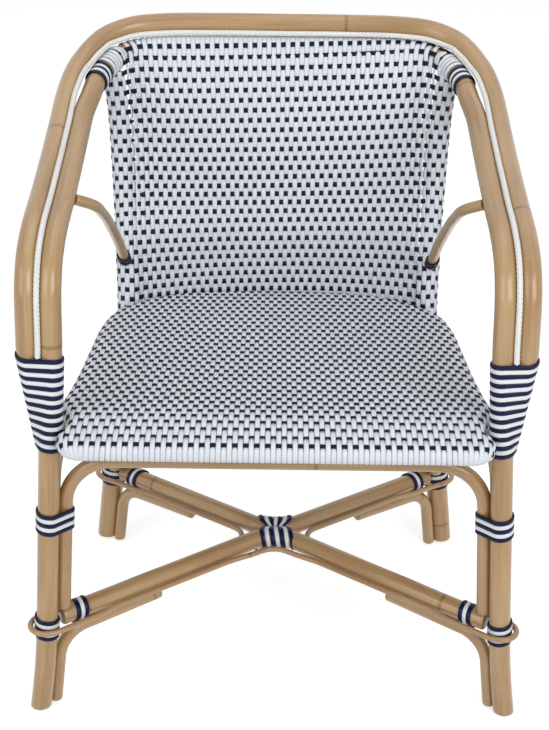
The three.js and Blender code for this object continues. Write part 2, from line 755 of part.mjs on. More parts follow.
// Stretchers: two bent poles whose bends meet in the middle
const stretcherR = stretcherPole / 2;
const meetSpacing = stretcherPole + arisePairGap;
const frontApex = V(0, crossDepth - meetSpacing / 2, crossHeight);
const rearApex = V(0, crossDepth + meetSpacing / 2, crossHeight);
function bentPole(leg, apex) {
  let corner = apex.clone();
  for (let i = 0; i < 8; i += 1) {
    const slope = Math.atan2(Math.abs(corner.y - leg.y), leg.x);
    const rise = stretcherBend * (1 / Math.cos(slope) - 1);
    corner = V(0, apex.y + Math.sign(corner.y - leg.y) * rise, apex.z);
  }
  return filleted([leg, corner, V(-leg.x, leg.y, leg.z)], stretcherBend, 6);
}
const frontLegJoint = frontLegAxis(frontJointHeight);
const rearLegJoint = rearLegAxis(rearJointHeight);
const frontStretcherPath = bentPole(frontLegJoint, frontApex);
const rearStretcherPath = bentPole(rearLegJoint, rearApex);
const legKeepOut = (axis, r, height) => {
  const low = axis(height - 2 * r);
  const high = axis(height + 2 * r);
  return toManifold(pole([low, high], strandCorner(r) + 2 * clearance, 24));
};
function copedStretcher(path, axis, r, height) {
  const cutter = legKeepOut(axis, r, height);
  const other = legKeepOut((z) => { const p = axis(z); return V(-p.x, p.y, p.z); }, r, height);
  return toManifold(pole(path, stretcherR, poleSides)).subtract(cutter).subtract(other);
}
const frontStretcher = keepLargest(copedStretcher(frontStretcherPath, frontLegAxis, hoopR, frontJointHeight));
const rearStretcher = keepLargest(copedStretcher(rearStretcherPath, rearLegAxis, rearR, rearJointHeight));
add('front_stretcher', fromManifold(frontStretcher), rattan, 0.4);
add('rear_stretcher', fromManifold(rearStretcher), rattan, 0.4);

// Directions of the four arms of the cross, seen from above, for the right side
const planDirection = (a, b) => V(b.x - a.x, b.y - a.y, 0).normalize();
const frontArm = { leg: frontLegJoint, axis: frontLegAxis, r: hoopR, dir: planDirection(frontLegJoint, frontStretcherPath[1]), path: frontStretcherPath };
const rearArm = { leg: rearLegJoint, axis: rearLegAxis, r: rearR, dir: planDirection(rearLegJoint, rearStretcherPath[1]), path: rearStretcherPath };
const armPoint = (arm, reach) => {
  const toward = arm.path[1].clone().sub(arm.leg).normalize();
  return arm.leg.clone().addScaledVector(toward, reach);
};

// Foot braces: up beside each leg, then under the stretcher
const braceR = footBracePole / 2;
const boundDrop = strandCorner(stretcherR) + clearance + braceR;
const bareDrop = stretcherR + clearance + braceR + braceSag;
const bindingStart = (arm) => arm.r + archPole + strandWidth / 2 + clearance;
const bindingEnd = (arm) => bindingStart(arm) + 2 * endNavyLoops * strandPitch + strandWidth;
function footBrace(arm, reach) {
  const beside = (z) => {
    const p = arm.axis(z);
    return p.addScaledVector(arm.dir, arm.r + braceR + clearance / 2);
  };
  const under = (d, drop) => {
    const p = armPoint(arm, d);
    p.z -= drop;
    return p;
  };
  const knee = beside(under(0, boundDrop).z);
  const foot = beside(glideHeight + clearance);
  const path = filleted([foot, knee, under(bindingEnd(arm), boundDrop)], braceBend, 5);
  return pole([...path, under(reach, bareDrop)], braceR, thinSides, { levelStart: true });
}
[['front', frontArm, frontBraceReach], ['rear', rearArm, rearBraceReach]].forEach(([label, arm, reach]) => {
  const brace = footBrace(arm, reach);
  add(`foot_brace_${label}_right`, brace, rattan, 0.4);
  add(`foot_brace_${label}_left`, mirrorGeometry(brace), rattan, 0.4);
});

// Arches: inverted U poles bound to the legs under the seat
const archNearDegrees = 32.7;
const archFarDegrees = 84;
const archOffset = (r, degrees, back) => {
  const d = r + archR + clearance + (r === rearR ? arisePairGap : 0);
  const a = THREE.MathUtils.degToRad(degrees);
  return V(-d * Math.cos(a), back * d * Math.sin(a), 0);
};
const beside = (axis, offset) => (z) => axis(z).add(offset);
const frontNear = beside(frontLegAxis, archOffset(hoopR, archNearDegrees, 1));
const frontFar = beside(frontLegAxis, archOffset(hoopR, archFarDegrees, 1));
const rearNear = beside(rearLegAxis, archOffset(rearR, archNearDegrees, -1));
const rearFar = beside(rearLegAxis, archOffset(rearR, archFarDegrees, -1));
const footReach = 2 * archPole;
const archFoot = (arm) => Math.max(armPoint(arm, 0).z, armPoint(arm, footReach).z) + stretcherR + 2 * clearance;
function crossArch(near, foot, height, bend) {
  const corner = near(height);
  const right = [near(foot), corner];
  const path = filleted([...right, ...mirrored(right).reverse()], bend, 5);
  return pole(path, archR, thinSides, { levelStart: true, levelEnd: true });
}
add('front_arch', crossArch(frontNear, archFoot(frontArm), frontArchHeight, frontArchBend), rattan, 0.4);
// The side arches carry the seat where its frame is lowest above them
const sideArchHeight = seatTop(postSeatDepth - archBend) - 2 * skinOuter - archR - 2 * clearance;
const sidePath = filleted([
  frontFar(archFoot(frontArm)),
  frontFar(sideArchHeight),
  rearFar(sideArchHeight),
  rearFar(archFoot(rearArm)),
], archBend, 5);
add('rear_arch', crossArch(rearNear, archFoot(rearArm), sideArchHeight, archBend), rattan, 0.4);
const sideArch = pole(sidePath, archR, thinSides, { levelStart: true, levelEnd: true });
add('side_arch_right', sideArch, rattan, 0.4);
add('side_arch_left', mirrorGeometry(sideArch), rattan, 0.4);

// Thin cane loop: beside both faces of each arm of the cross and round each leg
const caneR = loopCane / 2;
const bareSide = stretcherR + caneR + clearance;
const boundSide = strandCorner(stretcherR) + caneR + 5 * clearance;
const across = (arm) => V(-arm.dir.y, arm.dir.x, 0);
const legStep = 30;
const legRound = (arm) => (strandCorner(arm.r) + caneR + 2 * clearance) / Math.cos(THREE.MathUtils.degToRad(legStep / 2));
const caneAt = (arm, turn, reach, wide) => {
  const p = armPoint(arm, reach).addScaledVector(across(arm), turn * wide);
  p.z -= caneDrop;
  return p;
};
const runLength = (arm) => arm.leg.distanceTo(arm.path[1]);
// From the middle of the cross to the leg, along one face of the stretcher
function caneRun(arm, turn, outer) {
  const length = runLength(arm);
  const easing = stretcherBend / 2;
  const run = outer ? [[length - easing / 2, boundSide], [length - 2 * easing, bareSide]] : [];
  run.push([bindingEnd(arm) + easing, bareSide], [bindingEnd(arm), boundSide], [bindingStart(arm) - strandPitch, boundSide]);
  return run.map(([reach, wide]) => caneAt(arm, turn, reach, wide));
}
function caneLeg(arm, turn) {
  const centre = arm.axis(arm.leg.z - caneDrop);
  const points = [];
  for (let degrees = 90; degrees <= 270; degrees += legStep) {
    const a = THREE.MathUtils.degToRad(degrees);
    const p = centre.clone().addScaledVector(arm.dir, legRound(arm) * Math.cos(a));
    points.push(p.addScaledVector(across(arm), turn * legRound(arm) * Math.sin(a)));
  }
  return points;
}
// The bend in the middle, from X = 0 towards the right
const caneBend = (arm) => {
  const arc = arm.path.slice(1, -1);
  const middle = arc[(arc.length - 1) / 2];
  const centre = V(0, middle.y - Math.sign(middle.y - arm.leg.y) * stretcherBend, middle.z);
  return arc.slice(0, (arc.length + 1) / 2).reverse().map((p) => {
    const q = p.clone().addScaledVector(centre.clone().sub(p).normalize(), boundSide);
    q.z = p.z - caneDrop;
    return q;
  });
};
const frontOuter = across(frontArm).y < 0 ? 1 : -1;
const rearOuter = across(rearArm).y > 0 ? 1 : -1;
const innerLine = (arm, turn) => [caneAt(arm, turn, runLength(arm) / 2, bareSide), caneAt(arm, turn, runLength(arm), bareSide)];
const [frontA, frontB] = innerLine(frontArm, -frontOuter);
const [rearA, rearB] = innerLine(rearArm, -rearOuter);
const frontRise = (frontB.y - frontA.y) / (frontB.x - frontA.x);
const rearRise = (rearB.y - rearA.y) / (rearB.x - rearA.x);
const wedgeX = (rearA.y - rearRise * rearA.x - frontA.y + frontRise * frontA.x) / (frontRise - rearRise);
const wedge = V(wedgeX, frontA.y + frontRise * (wedgeX - frontA.x), (frontB.z + rearB.z) / 2);
const hairpin = filleted([frontA, wedge, rearA], hairpinBend, 5);
const rightLoop = [
  ...caneBend(frontArm),
  ...caneRun(frontArm, frontOuter, true),
  ...caneLeg(frontArm, frontOuter),
  ...caneRun(frontArm, -frontOuter, false).reverse(),
  ...hairpin,
  ...caneRun(rearArm, -rearOuter, false),
  ...caneLeg(rearArm, -rearOuter),
  ...caneRun(rearArm, rearOuter, true).reverse(),
  ...caneBend(rearArm).reverse(),
];
const loopPath = [...rightLoop, ...mirrored(rightLoop.slice(1, -1)).reverse()];
add('cane_loop', pole(loopPath, caneR, caneSides, { closed: true }), rattan, 0.4);

// Arm braces from the inner arm poles down to the back posts
const braceStart = half.reduce((best, p) => {
  const near = Math.abs(p.y - armBraceStartDepth) < Math.abs(best.y - armBraceStartDepth);
  return near ? p : best;
}, half[0]);
const postAt = (z) => rearLegFine.reduce((best, p) => (Math.abs(p.z - z) < Math.abs(best.z - z) ? p : best));
const armBraceR = armBracePole / 2;
const braceEndCore = postAt(armBraceEndHeight);
const braceEndGap = postRadius(braceEndCore) + 2 * clearance + backSkin + strandThickness + armBraceR;
const braceEnd = braceEndCore.clone().add(V(0, -braceEndGap, 0));
const braceShares = [
  [0.5, 0.08, 0.09],
  [0.72, 0.28, 0.25],
  [0.8, 0.51, 0.45],
  [0.92, 0.79, 0.74],
];
const braceFrom = braceStart.clone().add(V(-hoopR - clearance, 0, 0));
const braceMiddle = braceShares.map(([x, y, z]) => V(
  braceFrom.x + (braceEnd.x - braceFrom.x) * x,
  braceFrom.y + (braceEnd.y - braceFrom.y) * y,
  braceFrom.z + (braceEnd.z - braceFrom.z) * z,
));
const braceFine = smooth([braceStart, ...braceMiddle, braceEnd], 60);
const armBrace = pole(thin(braceFine, pathTurn, hoopDepth / 6), armBraceR, thinSides);
const trimmedBrace = (geometry) => fromManifold(keepLargest(toManifold(geometry).subtract(hoopCutter)));
add('arm_brace_right', trimmedBrace(armBrace), rattan, 0.4);
add('arm_brace_left', trimmedBrace(mirrorGeometry(armBrace)), rattan, 0.4);

// Frames for windings: h runs along the bound pole, x and y lie across it
function levelPlace(axis) {
  return (h, x, y) => axis(h).add(V(x, y, 0));
}
function linePlace(origin, direction) {
  const d = direction.clone().normalize();
  const x = new THREE.Vector3().crossVectors(up, d).normalize();
  const y = new THREE.Vector3().crossVectors(d, x);
  return (h, a, b) => origin.clone().addScaledVector(d, h).addScaledVector(x, a).addScaledVector(y, b);
}
const binding = (name, place, circles, start, loops, color, turned, both = true) => {
  const strand = winding(name, place, circles, start, loops, loopSteps, turned);
  if (!both) return add(name, strand, color, 0.3);
  add(`${name}_right`, strand, color, 0.3);
  return add(`${name}_left`, mirrorGeometry(strand), color, 0.3);
};

const backTurn = loopSteps / 4;
const underTurn = (5 * loopSteps) / 8;
const outerTurn = loopSteps / 8;

// Wraps round the front posts and the tapered ends of the outer hoop
const wrapPlace = levelPlace(frontLegAxis);
const wrapCircles = (z) => {
  const r = outerRadius(z);
  return [{ x: 0, y: 0, r: hoopR }, { x: hoopR + r + arisePairGap, y: 0, r: r + clearance }];
};
binding('arm_wrap_navy', wrapPlace, wrapCircles, armWrapBottom, armWrapLoops, navy, backTurn);
binding('arm_wrap_white', wrapPlace, wrapCircles, armWrapBottom + strandPitch, armWrapLoops - 1, white, backTurn);

// Bindings that hold the arches to the legs
const bundle = (offsets, r) => () => [{ x: 0, y: 0, r }, ...offsets.map((o) => ({ x: o.x, y: o.y, r: archR }))];
const bindHalf = navyLoops * strandPitch;
const frontBundle = bundle([archOffset(hoopR, archNearDegrees, 1), archOffset(hoopR, archFarDegrees, 1)], hoopR);
const rearBundle = bundle([archOffset(rearR, archNearDegrees, -1), archOffset(rearR, archFarDegrees, -1)], rearR);
binding('mid_binding_front_navy', wrapPlace, frontBundle, midBindingHeight - bindHalf, navyLoops, navy, backTurn);
binding('mid_binding_front_white', wrapPlace, frontBundle, midBindingHeight - bindHalf + strandPitch, whiteLoops, white, backTurn);
binding('mid_binding_rear_navy', levelPlace(rearLegAxis), rearBundle, midBindingHeight - bindHalf, navyLoops, navy, backTurn);

// Bindings round the foot of each leg where the stretchers meet it
const jointStart = (height) => height + stretcherR - strandWidth / 2 - strandPitch - 2 * bindHalf;
const single = (r) => () => [{ x: 0, y: 0, r }];
[['front', frontLegAxis, hoopR, frontJointHeight], ['rear', rearLegAxis, rearR, rearJointHeight]].forEach(([label, axis, r, height]) => {
  const start = jointStart(height) + strandPitch;
  binding(`joint_binding_${label}_navy`, levelPlace(axis), single(r), start, navyLoops, navy, outerTurn);
  binding(`joint_binding_${label}_white`, levelPlace(axis), single(r), start + strandPitch, whiteLoops, white, outerTurn);
});

// Bindings round the ends of the stretchers
[['front', frontArm], ['rear', rearArm]].forEach(([label, arm]) => {
  const place = linePlace(arm.leg, arm.path[1].clone().sub(arm.leg));
  const start = bindingStart(arm);
  binding(`end_binding_${label}_navy`, place, single(stretcherR), start, endNavyLoops, navy, underTurn);
  binding(`end_binding_${label}_white`, place, single(stretcherR), start + strandPitch, endWhiteLoops, white, underTurn);
});

// Binding round the middle of the cross
const depthOn = (path, x) => {
  const right = path.filter((p) => p.x >= -stretcherR);
  const i = Math.max(1, right.findIndex((p) => p.x < Math.abs(x)));
  const f = (Math.abs(x) - right[i - 1].x) / (right[i].x - right[i - 1].x);
  return right[i - 1].clone().lerp(right[i], f);
};
const crossPlace = (h, a, b) => V(h, crossDepth + a, crossHeight + b);
const slopeAt = (path, x) => {
  const step = strandPitch / 2;
  const a = depthOn(path, Math.abs(x) + step);
  const b = depthOn(path, Math.max(Math.abs(x) - step, 0));
  return Math.hypot(1, (a.y - b.y) / (a.x - b.x));
};
const crossCircles = (h) => [frontStretcherPath, rearStretcherPath].flatMap((path) => {
  const wide = stretcherR * (slopeAt(path, h) - 1);
  const edges = [depthOn(path, Math.abs(h) + strandWidth / 2), depthOn(path, Math.max(Math.abs(h) - strandWidth / 2, 0))];
  return edges.flatMap((p) => [wide, -wide].map((shift) => (
    { x: p.y - crossDepth + shift, y: p.z - crossHeight, r: stretcherR + 3 * clearance }
  )));
});
const crossHalf = centreNavyLoops * strandPitch;
binding('centre_binding_navy', crossPlace, crossCircles, -crossHalf, centreNavyLoops, navy, underTurn, false);
binding('centre_binding_white', crossPlace, crossCircles, -crossHalf + strandPitch, centreWhiteLoops, white, underTurn, false);

// Bindings round the inner hoop at the corners of the back
const cornerGap = 8;
const cornerStretch = 1.3;
const cornerPath = rightPlaces(innerFine).filter((p) => p.y > hoopDepth / 3);
const stepsAlong = (points) => {
  const lengths = [0];
  for (let i = 1; i < points.length; i += 1) lengths.push(lengths[i - 1] + points[i].distanceTo(points[i - 1]));
  return lengths;
};
const cornerLengths = stepsAlong(cornerPath);
const onCorner = (want) => {
  let i = 1;
  while (i < cornerLengths.length - 1 && cornerLengths[i] < want) i += 1;
  const f = (want - cornerLengths[i - 1]) / (cornerLengths[i] - cornerLengths[i - 1]);
  return cornerPath[i - 1].clone().lerp(cornerPath[i], f);
};
const probe = (want) => Math.abs(onCorner(want).x - postTop.x);
let postRun = 0;
for (let want = 0; want < cornerLengths[cornerLengths.length - 1]; want += clearance) {
  if (probe(want) < probe(postRun)) postRun = want;
}
const skinReach = postR + clearance + backSkin + cornerGap;
const cornerPoint = (h) => {
  const at = postRun - skinReach - (h - skinReach) * cornerStretch;
  const p = onCorner(at);
  const d = onCorner(at - strandPitch).sub(onCorner(at + strandPitch)).normalize();
  return { p, d };
};
const cornerPlace = (h, a, b) => {
  const { p, d } = cornerPoint(h);
  const x = new THREE.Vector3().crossVectors(up, d).normalize();
  const y = new THREE.Vector3().crossVectors(d, x);
  return p.addScaledVector(x, a).addScaledVector(y, b);
};
binding('corner_binding_navy', cornerPlace, single(hoopR), skinReach, navyLoops, navy, underTurn);
binding('corner_binding_white', cornerPlace, single(hoopR), skinReach + strandPitch, whiteLoops, white, underTurn);

// Bindings round the lower ends of the arm braces
const endDirection = braceFine[50].clone().sub(braceEnd);
const bracePlace = linePlace(braceEnd, endDirection);
binding('brace_binding_navy', bracePlace, single(armBraceR), strandPitch, braceEndLoops, navy, backTurn);

// Glides under the legs
const frontGlide = frontLegAxis(0);
const rearGlide = rearLegAxis(0);
[['front', frontGlide], ['rear', rearGlide]].forEach(([label, p]) => {
  [['right', 1], ['left', -1]].forEach(([name, side]) => {
    const disc = new THREE.CylinderGeometry(glideDiameter / 2, glideDiameter / 2, glideHeight, poleSides);
    disc.rotateX(Math.PI / 2);
    disc.translate(side * p.x, p.y, glideHeight / 2);
    add(`glide_${label}_${name}`, disc, glideTone, 0.6);
  });
});

console.log(`least gap of each winding to itself, mm: ${leastGaps.join(', ')}`);

// The origin goes to the middle of the footprint, on the floor
const box = new THREE.Box3().setFromObject(group);
const middle = box.getCenter(V(0, 0, 0));
group.position.set(-middle.x, -middle.y, -box.min.z);
group.updateMatrixWorld(true);

export default group;
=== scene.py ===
"""The look of a bistro armchair of bent rattan poles with a woven seat and back.

Lengths are millimetres in the drawing frame of the chair, whose Y = 0 is the plane of the
front posts, and become metres in the row frame when a mesh is made.
"""

import math

import bpy
import numpy as np
from mathutils import Euler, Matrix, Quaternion, Vector


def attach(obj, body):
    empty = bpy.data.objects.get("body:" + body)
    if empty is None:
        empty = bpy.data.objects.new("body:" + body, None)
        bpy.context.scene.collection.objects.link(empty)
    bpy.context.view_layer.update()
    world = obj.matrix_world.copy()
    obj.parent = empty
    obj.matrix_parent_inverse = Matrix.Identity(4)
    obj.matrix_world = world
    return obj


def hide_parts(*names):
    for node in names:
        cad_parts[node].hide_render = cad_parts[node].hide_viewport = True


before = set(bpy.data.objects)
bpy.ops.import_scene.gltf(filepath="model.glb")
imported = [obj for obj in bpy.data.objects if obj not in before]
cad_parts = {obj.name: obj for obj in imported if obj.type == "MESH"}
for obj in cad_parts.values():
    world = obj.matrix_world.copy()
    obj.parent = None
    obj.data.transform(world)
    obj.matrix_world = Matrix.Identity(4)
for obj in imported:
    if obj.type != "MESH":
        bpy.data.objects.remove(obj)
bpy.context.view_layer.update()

MM = 0.001
SHIFT = np.array([0.0396, -250.630, 0.0])
CLEARANCE = 0.3

# Poles and canes, by diameter
HOOP_POLE = 27.4
STRETCHER_POLE = 25.6
REAR_LEG_POLE = 32.0
BACK_POST_POLE = 26.0
ARCH_POLE = 18.4
FOOT_BRACE_POLE = 17.0
BRACE_SAG = 1.2
ARM_BRACE_POLE = 14.0
LOOP_CANE = 7.6
PIPING_CORD = 7.6
SEAT_FRAME_POLE = 20.0
BACK_RAIL_POLE = 14.0

# Binding strands
BINDING_WIDTH = 5.9
BINDING_THICKNESS = 2.2
BINDING_PITCH = 6.0
CORNER_STRETCH = 1.3
CAD_STRAND_WIDTH = 5.2

# Weave strands
WARP_WIDTH = 6.8
WEFT_WIDTH = 6.0
BACK_WARP_WIDTH = 7.4
BACK_WEFT_WIDTH = 6.9
WEAVE_THICKNESS = 1.5
WEAVE_LIFT = 0.85
SEAT_WARPS = 82
SEAT_ROW_PITCH = 12.3
SEAT_FRONT_PITCH = 13.1
SEAT_FRONT_ROWS = 6
SEAT_ROWS = 38
BACK_COLUMNS = 66
COLUMN_PITCH = 6.5
WRAP_COLUMNS = 7
CROSSING_HALF = 3.1

HOOP_R = HOOP_POLE / 2
STRETCHER_R = STRETCHER_POLE / 2
REAR_R = REAR_LEG_POLE / 2
POST_R = BACK_POST_POLE / 2
ARCH_R = ARCH_POLE / 2
BRACE_R = FOOT_BRACE_POLE / 2
ARM_BRACE_R = ARM_BRACE_POLE / 2
CANE_R = LOOP_CANE / 2
CORD_R = PIPING_CORD / 2
RAIL_R = BACK_RAIL_POLE / 2
FRAME_R = SEAT_FRAME_POLE / 2
SEAT_SKIN = 3.6
BACK_SKIN = 3.0

# Places of the hoops
ARM_HALF_SPREAD = 288.5
HOOP_DEPTH = 536.0
TOP_HEIGHT = 779.0
POST_TOP_HEIGHT = 526.0
ARISE_PAIR_GAP = 0.6
WEAVE_PAIR_GAP = 4.8
PIPING_LIFT = 4.4
ARM_FLARE = 6.1
FRONT_POST_HALF_SPREAD = ARM_HALF_SPREAD + ARM_FLARE - HOOP_POLE - ARISE_PAIR_GAP
FRONT_POST_SPLAY = 24.0
FRONT_FOOT_KICK = 6.6
ARM_WRAP_LOOPS = 11
ARM_WRAP_BOTTOM = POST_TOP_HEIGHT - BINDING_PITCH - 2 * ARM_WRAP_LOOPS * BINDING_PITCH
TAPER_END = ARM_WRAP_BOTTOM + CAD_STRAND_WIDTH
OUTER_TIP_HEIGHT = ARM_WRAP_BOTTOM + HOOP_POLE

# Places of the seat and the back
SEAT_HEIGHT = 434.0
SEAT_FRONT_DROP = 11.0
SEAT_FRONT_BLEND = 21.0
SEAT_BACK_DROP = 15.0
SEAT_SAG = 4.0
SEAT_SIDE_INSET = 22.0
SEAT_BACK_GAP = 18.5
BACK_RECLINE = 100.0
BACK_RAIL_HEIGHT = SEAT_HEIGHT - 63.0
BACK_RAIL_DEPTH = HOOP_DEPTH - BACK_RECLINE
REAR_FOOT_HALF_SPREAD = FRONT_POST_HALF_SPREAD - 7.6
REAR_FOOT_DEPTH = BACK_RAIL_DEPTH - 10.0
POST_SEAT_HALF_SPREAD = REAR_FOOT_HALF_SPREAD - 49.2
POST_SEAT_DEPTH = REAR_FOOT_DEPTH - 32.0
POST_BEND_HEIGHT = 425.0
SKIN_OUTER = (FRAME_R + CLEARANCE) / math.cos(math.pi / 8) + SEAT_SKIN

# Places of the stretchers, braces and arches
FRONT_JOINT_HEIGHT = 136.5
REAR_JOINT_HEIGHT = 123.0
CROSS_HEIGHT = 135.5
CROSS_DEPTH = REAR_FOOT_DEPTH / 2 + 9.0
STRETCHER_BEND = 50.0
FRONT_ARCH_HEIGHT = 367.6
ARCH_BEND = 52.0
FRONT_ARCH_BEND = 63.0
BRACE_BEND = 40.0
CANE_DROP = 5.4
HAIRPIN_BEND = 28.0
FRONT_BRACE_REACH = 172.0
REAR_BRACE_REACH = 160.0
MID_BINDING_DROP = 16.6
MID_BINDING_HEIGHT = FRONT_ARCH_HEIGHT - FRONT_ARCH_BEND - MID_BINDING_DROP
GLIDE_HEIGHT = 3.0
GLIDE_DIAMETER = 20.0
ARM_BRACE_START_DEPTH = 140.0
ARM_BRACE_END_HEIGHT = 473.0

# How finely the paths are drawn
PATH_STEP = 5
STRETCHER_STEP = 4
PIPING_STEP = 1.2
HOOP_STEPS = 480
POST_STEPS = 180
RAIL_STEPS = 120
SEAT_FRAME_STEPS = 420
CANE_LOOP_STEPS = 900
ARM_BRACE_STEPS = 90


def vec(x, y, z):
    return np.array([x, y, z], float)


def unit(v):
    return v / np.linalg.norm(v, axis=-1, keepdims=True)


def smoothstep(x, low, high):
    t = np.clip((x - low) / (high - low), 0, 1)
    return t * t * (3 - 2 * t)


def mirrored(points):
    return np.asarray(points) * vec(-1, 1, 1)


# A smooth curve through points, as the CAD draws it
def catmull(points, closed=False, steps=24):
    points = np.asarray(points, float)
    if closed:
        held = np.vstack([points[-1:], points, points[:2]])
    else:
        held = np.vstack([2 * points[:1] - points[1:2], points, 2 * points[-1:] - points[-2:-1]])
    t = np.linspace(0, 1, steps, endpoint=False)[:, None]
    out = []
    for i in range(len(held) - 3):
        p0, p1, p2, p3 = held[i:i + 4]
        d0 = math.sqrt(np.linalg.norm(p1 - p0))
        d1 = math.sqrt(np.linalg.norm(p2 - p1))
        d2 = math.sqrt(np.linalg.norm(p3 - p2))
        t1 = ((p1 - p0) / d0 - (p2 - p0) / (d0 + d1) + (p2 - p1) / d1) * d1
        t2 = ((p2 - p1) / d1 - (p3 - p1) / (d1 + d2) + (p3 - p2) / d2) * d1
        c2 = -3 * p1 + 3 * p2 - 2 * t1 - t2
        c3 = 2 * p1 - 2 * p2 + t1 + t2
        out.append(p1 + t1 * t + c2 * t ** 2 + c3 * t ** 3)
    curve = np.vstack(out)
    return curve if closed else np.vstack([curve, points[-1:]])


def lengths_of(points):
    return np.concatenate([[0], np.cumsum(np.linalg.norm(np.diff(points, axis=0), axis=1))])


def at_length(points, wanted, lengths=None):
    lengths = lengths_of(points) if lengths is None else lengths
    return np.stack([np.interp(wanted, lengths, points[:, k]) for k in range(3)], -1)


def at_share(points, share):
    lengths = lengths_of(points)
    return at_length(points, np.asarray(share) * lengths[-1], lengths)


def evenly(points, count):
    return at_share(points, np.linspace(0, 1, count + 1))


def spaced(points, step):
    return evenly(points, max(2, round(lengths_of(points)[-1] / step)))


def tangents(points, closed=False):
    if closed:
        before = unit(points - np.roll(points, 1, 0))
        after = unit(np.roll(points, -1, 0) - points)
        return unit(before + after)
    steps = unit(np.diff(points, axis=0))
    return unit(np.vstack([steps[:1], steps[:-1] + steps[1:], steps[-1:]]))


# Soften the corners of a dense path
def eased(points, passes, closed=False):
    points = np.array(points, float)
    for _ in range(passes):
        if closed:
            points = (np.roll(points, 1, 0) + 2 * points + np.roll(points, -1, 0)) / 4
        else:
            points[1:-1] = (points[:-2] + 2 * points[1:-1] + points[2:]) / 4
    return points


# A polyline whose inner corners are rounded with true arcs
def filleted(points, radius, steps=12):
    out = [points[0]]
    for before, corner, after in zip(points, points[1:], points[2:]):
        back = unit(before - corner)
        ahead = unit(after - corner)
        half = math.acos(np.clip(back @ ahead, -1, 1)) / 2
        centre = corner + unit(back + ahead) * radius / math.sin(half)
        a = corner + back * radius / math.tan(half) - centre
        b = corner + ahead * radius / math.tan(half) - centre
        angle = math.pi - 2 * half
        for t in np.linspace(0, 1, steps + 1):
            out.append(centre + (a * math.sin((1 - t) * angle) + b * math.sin(t * angle)) / math.sin(angle))
    out.append(points[-1])
    return np.array(out)


# sRGB hex to linear colour
def colour(hexa):
    parts = [int(hexa[i:i + 2], 16) / 255 for i in (1, 3, 5)]
    return [*(c / 12.92 if c <= 0.04045 else ((c + 0.055) / 1.055) ** 2.4 for c in parts), 1.0]


# Add a node, set its settings and values, and link its inputs
def node(tree, kind, links=None, values=None, **settings):
    made = tree.nodes.new(kind)
    for key, value in settings.items():
        setattr(made, key, value)
    for key, value in (values or {}).items():
        made.inputs[key].default_value = value
    for key, source in (links or {}).items():
        tree.links.new(source, made.inputs[key])
    return made


def new_material(name):
    material = bpy.data.materials.new(name)
    material.use_nodes = True
    tree = material.node_tree
    tree.nodes.clear()
    return material, tree


def ramp(tree, source, stops, interpolation="LINEAR"):
    made = node(tree, "ShaderNodeValToRGB", {"Fac": source})
    made.color_ramp.interpolation = interpolation
    while len(made.color_ramp.elements) < len(stops):
        made.color_ramp.elements.new(0.5)
    for element, (place, tone) in zip(made.color_ramp.elements, stops):
        element.position = place
        element.color = tone
    return made


def grey(value):
    return [value, value, value, 1.0]


# Rattan pole, peeled, sanded and varnished: warm tan with fine darker fibres along it,
# cloudy patches and a faint ring at each knuckle, under a soft gloss
def varnished_rattan(name, light, middle, dark):
    material, tree = new_material(name)
    uv = node(tree, "ShaderNodeUVMap", uv_map="UVMap").outputs["UV"]
    along = node(tree, "ShaderNodeMapping", {"Vector": uv}, {"Scale": (9, 420, 1)}, vector_type="POINT")
    fibre = node(tree, "ShaderNodeTexNoise", {"Vector": along.outputs["Vector"]},
                 {"Scale": 1.0, "Detail": 4.0, "Roughness": 0.6})
    broad = node(tree, "ShaderNodeMapping", {"Vector": uv}, {"Scale": (5, 40, 1)}, vector_type="POINT")
    cloud = node(tree, "ShaderNodeTexNoise", {"Vector": broad.outputs["Vector"]},
                 {"Scale": 1.0, "Detail": 3.0, "Roughness": 0.55})
    tones = ramp(tree, cloud.outputs["Fac"],
                 [(0.3, colour(dark)), (0.5, colour(middle)), (0.7, colour(light))])
    streaks = ramp(tree, fibre.outputs["Fac"], [(0.3, grey(0.72)), (0.52, grey(1.0))])
    fibres = node(tree, "ShaderNodeMix", None, {0: 0.55}, data_type="RGBA", blend_type="MULTIPLY")
    # The mix node has one set of sockets for each data type, so the colour ones go by index
    tree.links.new(tones.outputs["Color"], fibres.inputs[6])
    tree.links.new(streaks.outputs["Color"], fibres.inputs[7])
    parts = node(tree, "ShaderNodeSeparateXYZ", {"Vector": uv})
    knuckle = node(tree, "ShaderNodeMath", {0: parts.outputs["X"]}, {1: 0.29}, operation="PINGPONG")
    ring = ramp(tree, knuckle.outputs["Value"], [(0.0, grey(0.0)), (0.004, grey(1.0))])
    ringed = node(tree, "ShaderNodeMix", None, {0: 1.0}, data_type="RGBA", blend_type="MULTIPLY")
    rings = ramp(tree, knuckle.outputs["Value"], [(0.0, colour("#CDB48F")), (0.003, grey(1.0))])
    tree.links.new(fibres.outputs[2], ringed.inputs[6])
    tree.links.new(rings.outputs["Color"], ringed.inputs[7])
    height = node(tree, "ShaderNodeMath", {0: fibre.outputs["Fac"], 1: ring.outputs["Color"]},
                  operation="MULTIPLY")
    bump = node(tree, "ShaderNodeBump", {"Height": height.outputs["Value"]},
                {"Strength": 0.25, "Distance": 0.0004})
    gloss = node(tree, "ShaderNodeMapRange", {"Value": fibre.outputs["Fac"]},
                 {"To Min": 0.26, "To Max": 0.42})
    shader = node(tree, "ShaderNodeBsdfPrincipled",
                  {"Base Color": ringed.outputs[2], "Roughness": gloss.outputs["Result"],
                   "Normal": bump.outputs["Normal"]},
                  {"IOR": 1.5, "Coat Weight": 0.5, "Coat Roughness": 0.12})
    node(tree, "ShaderNodeOutputMaterial", {"Surface": shader.outputs["BSDF"]})
    return material


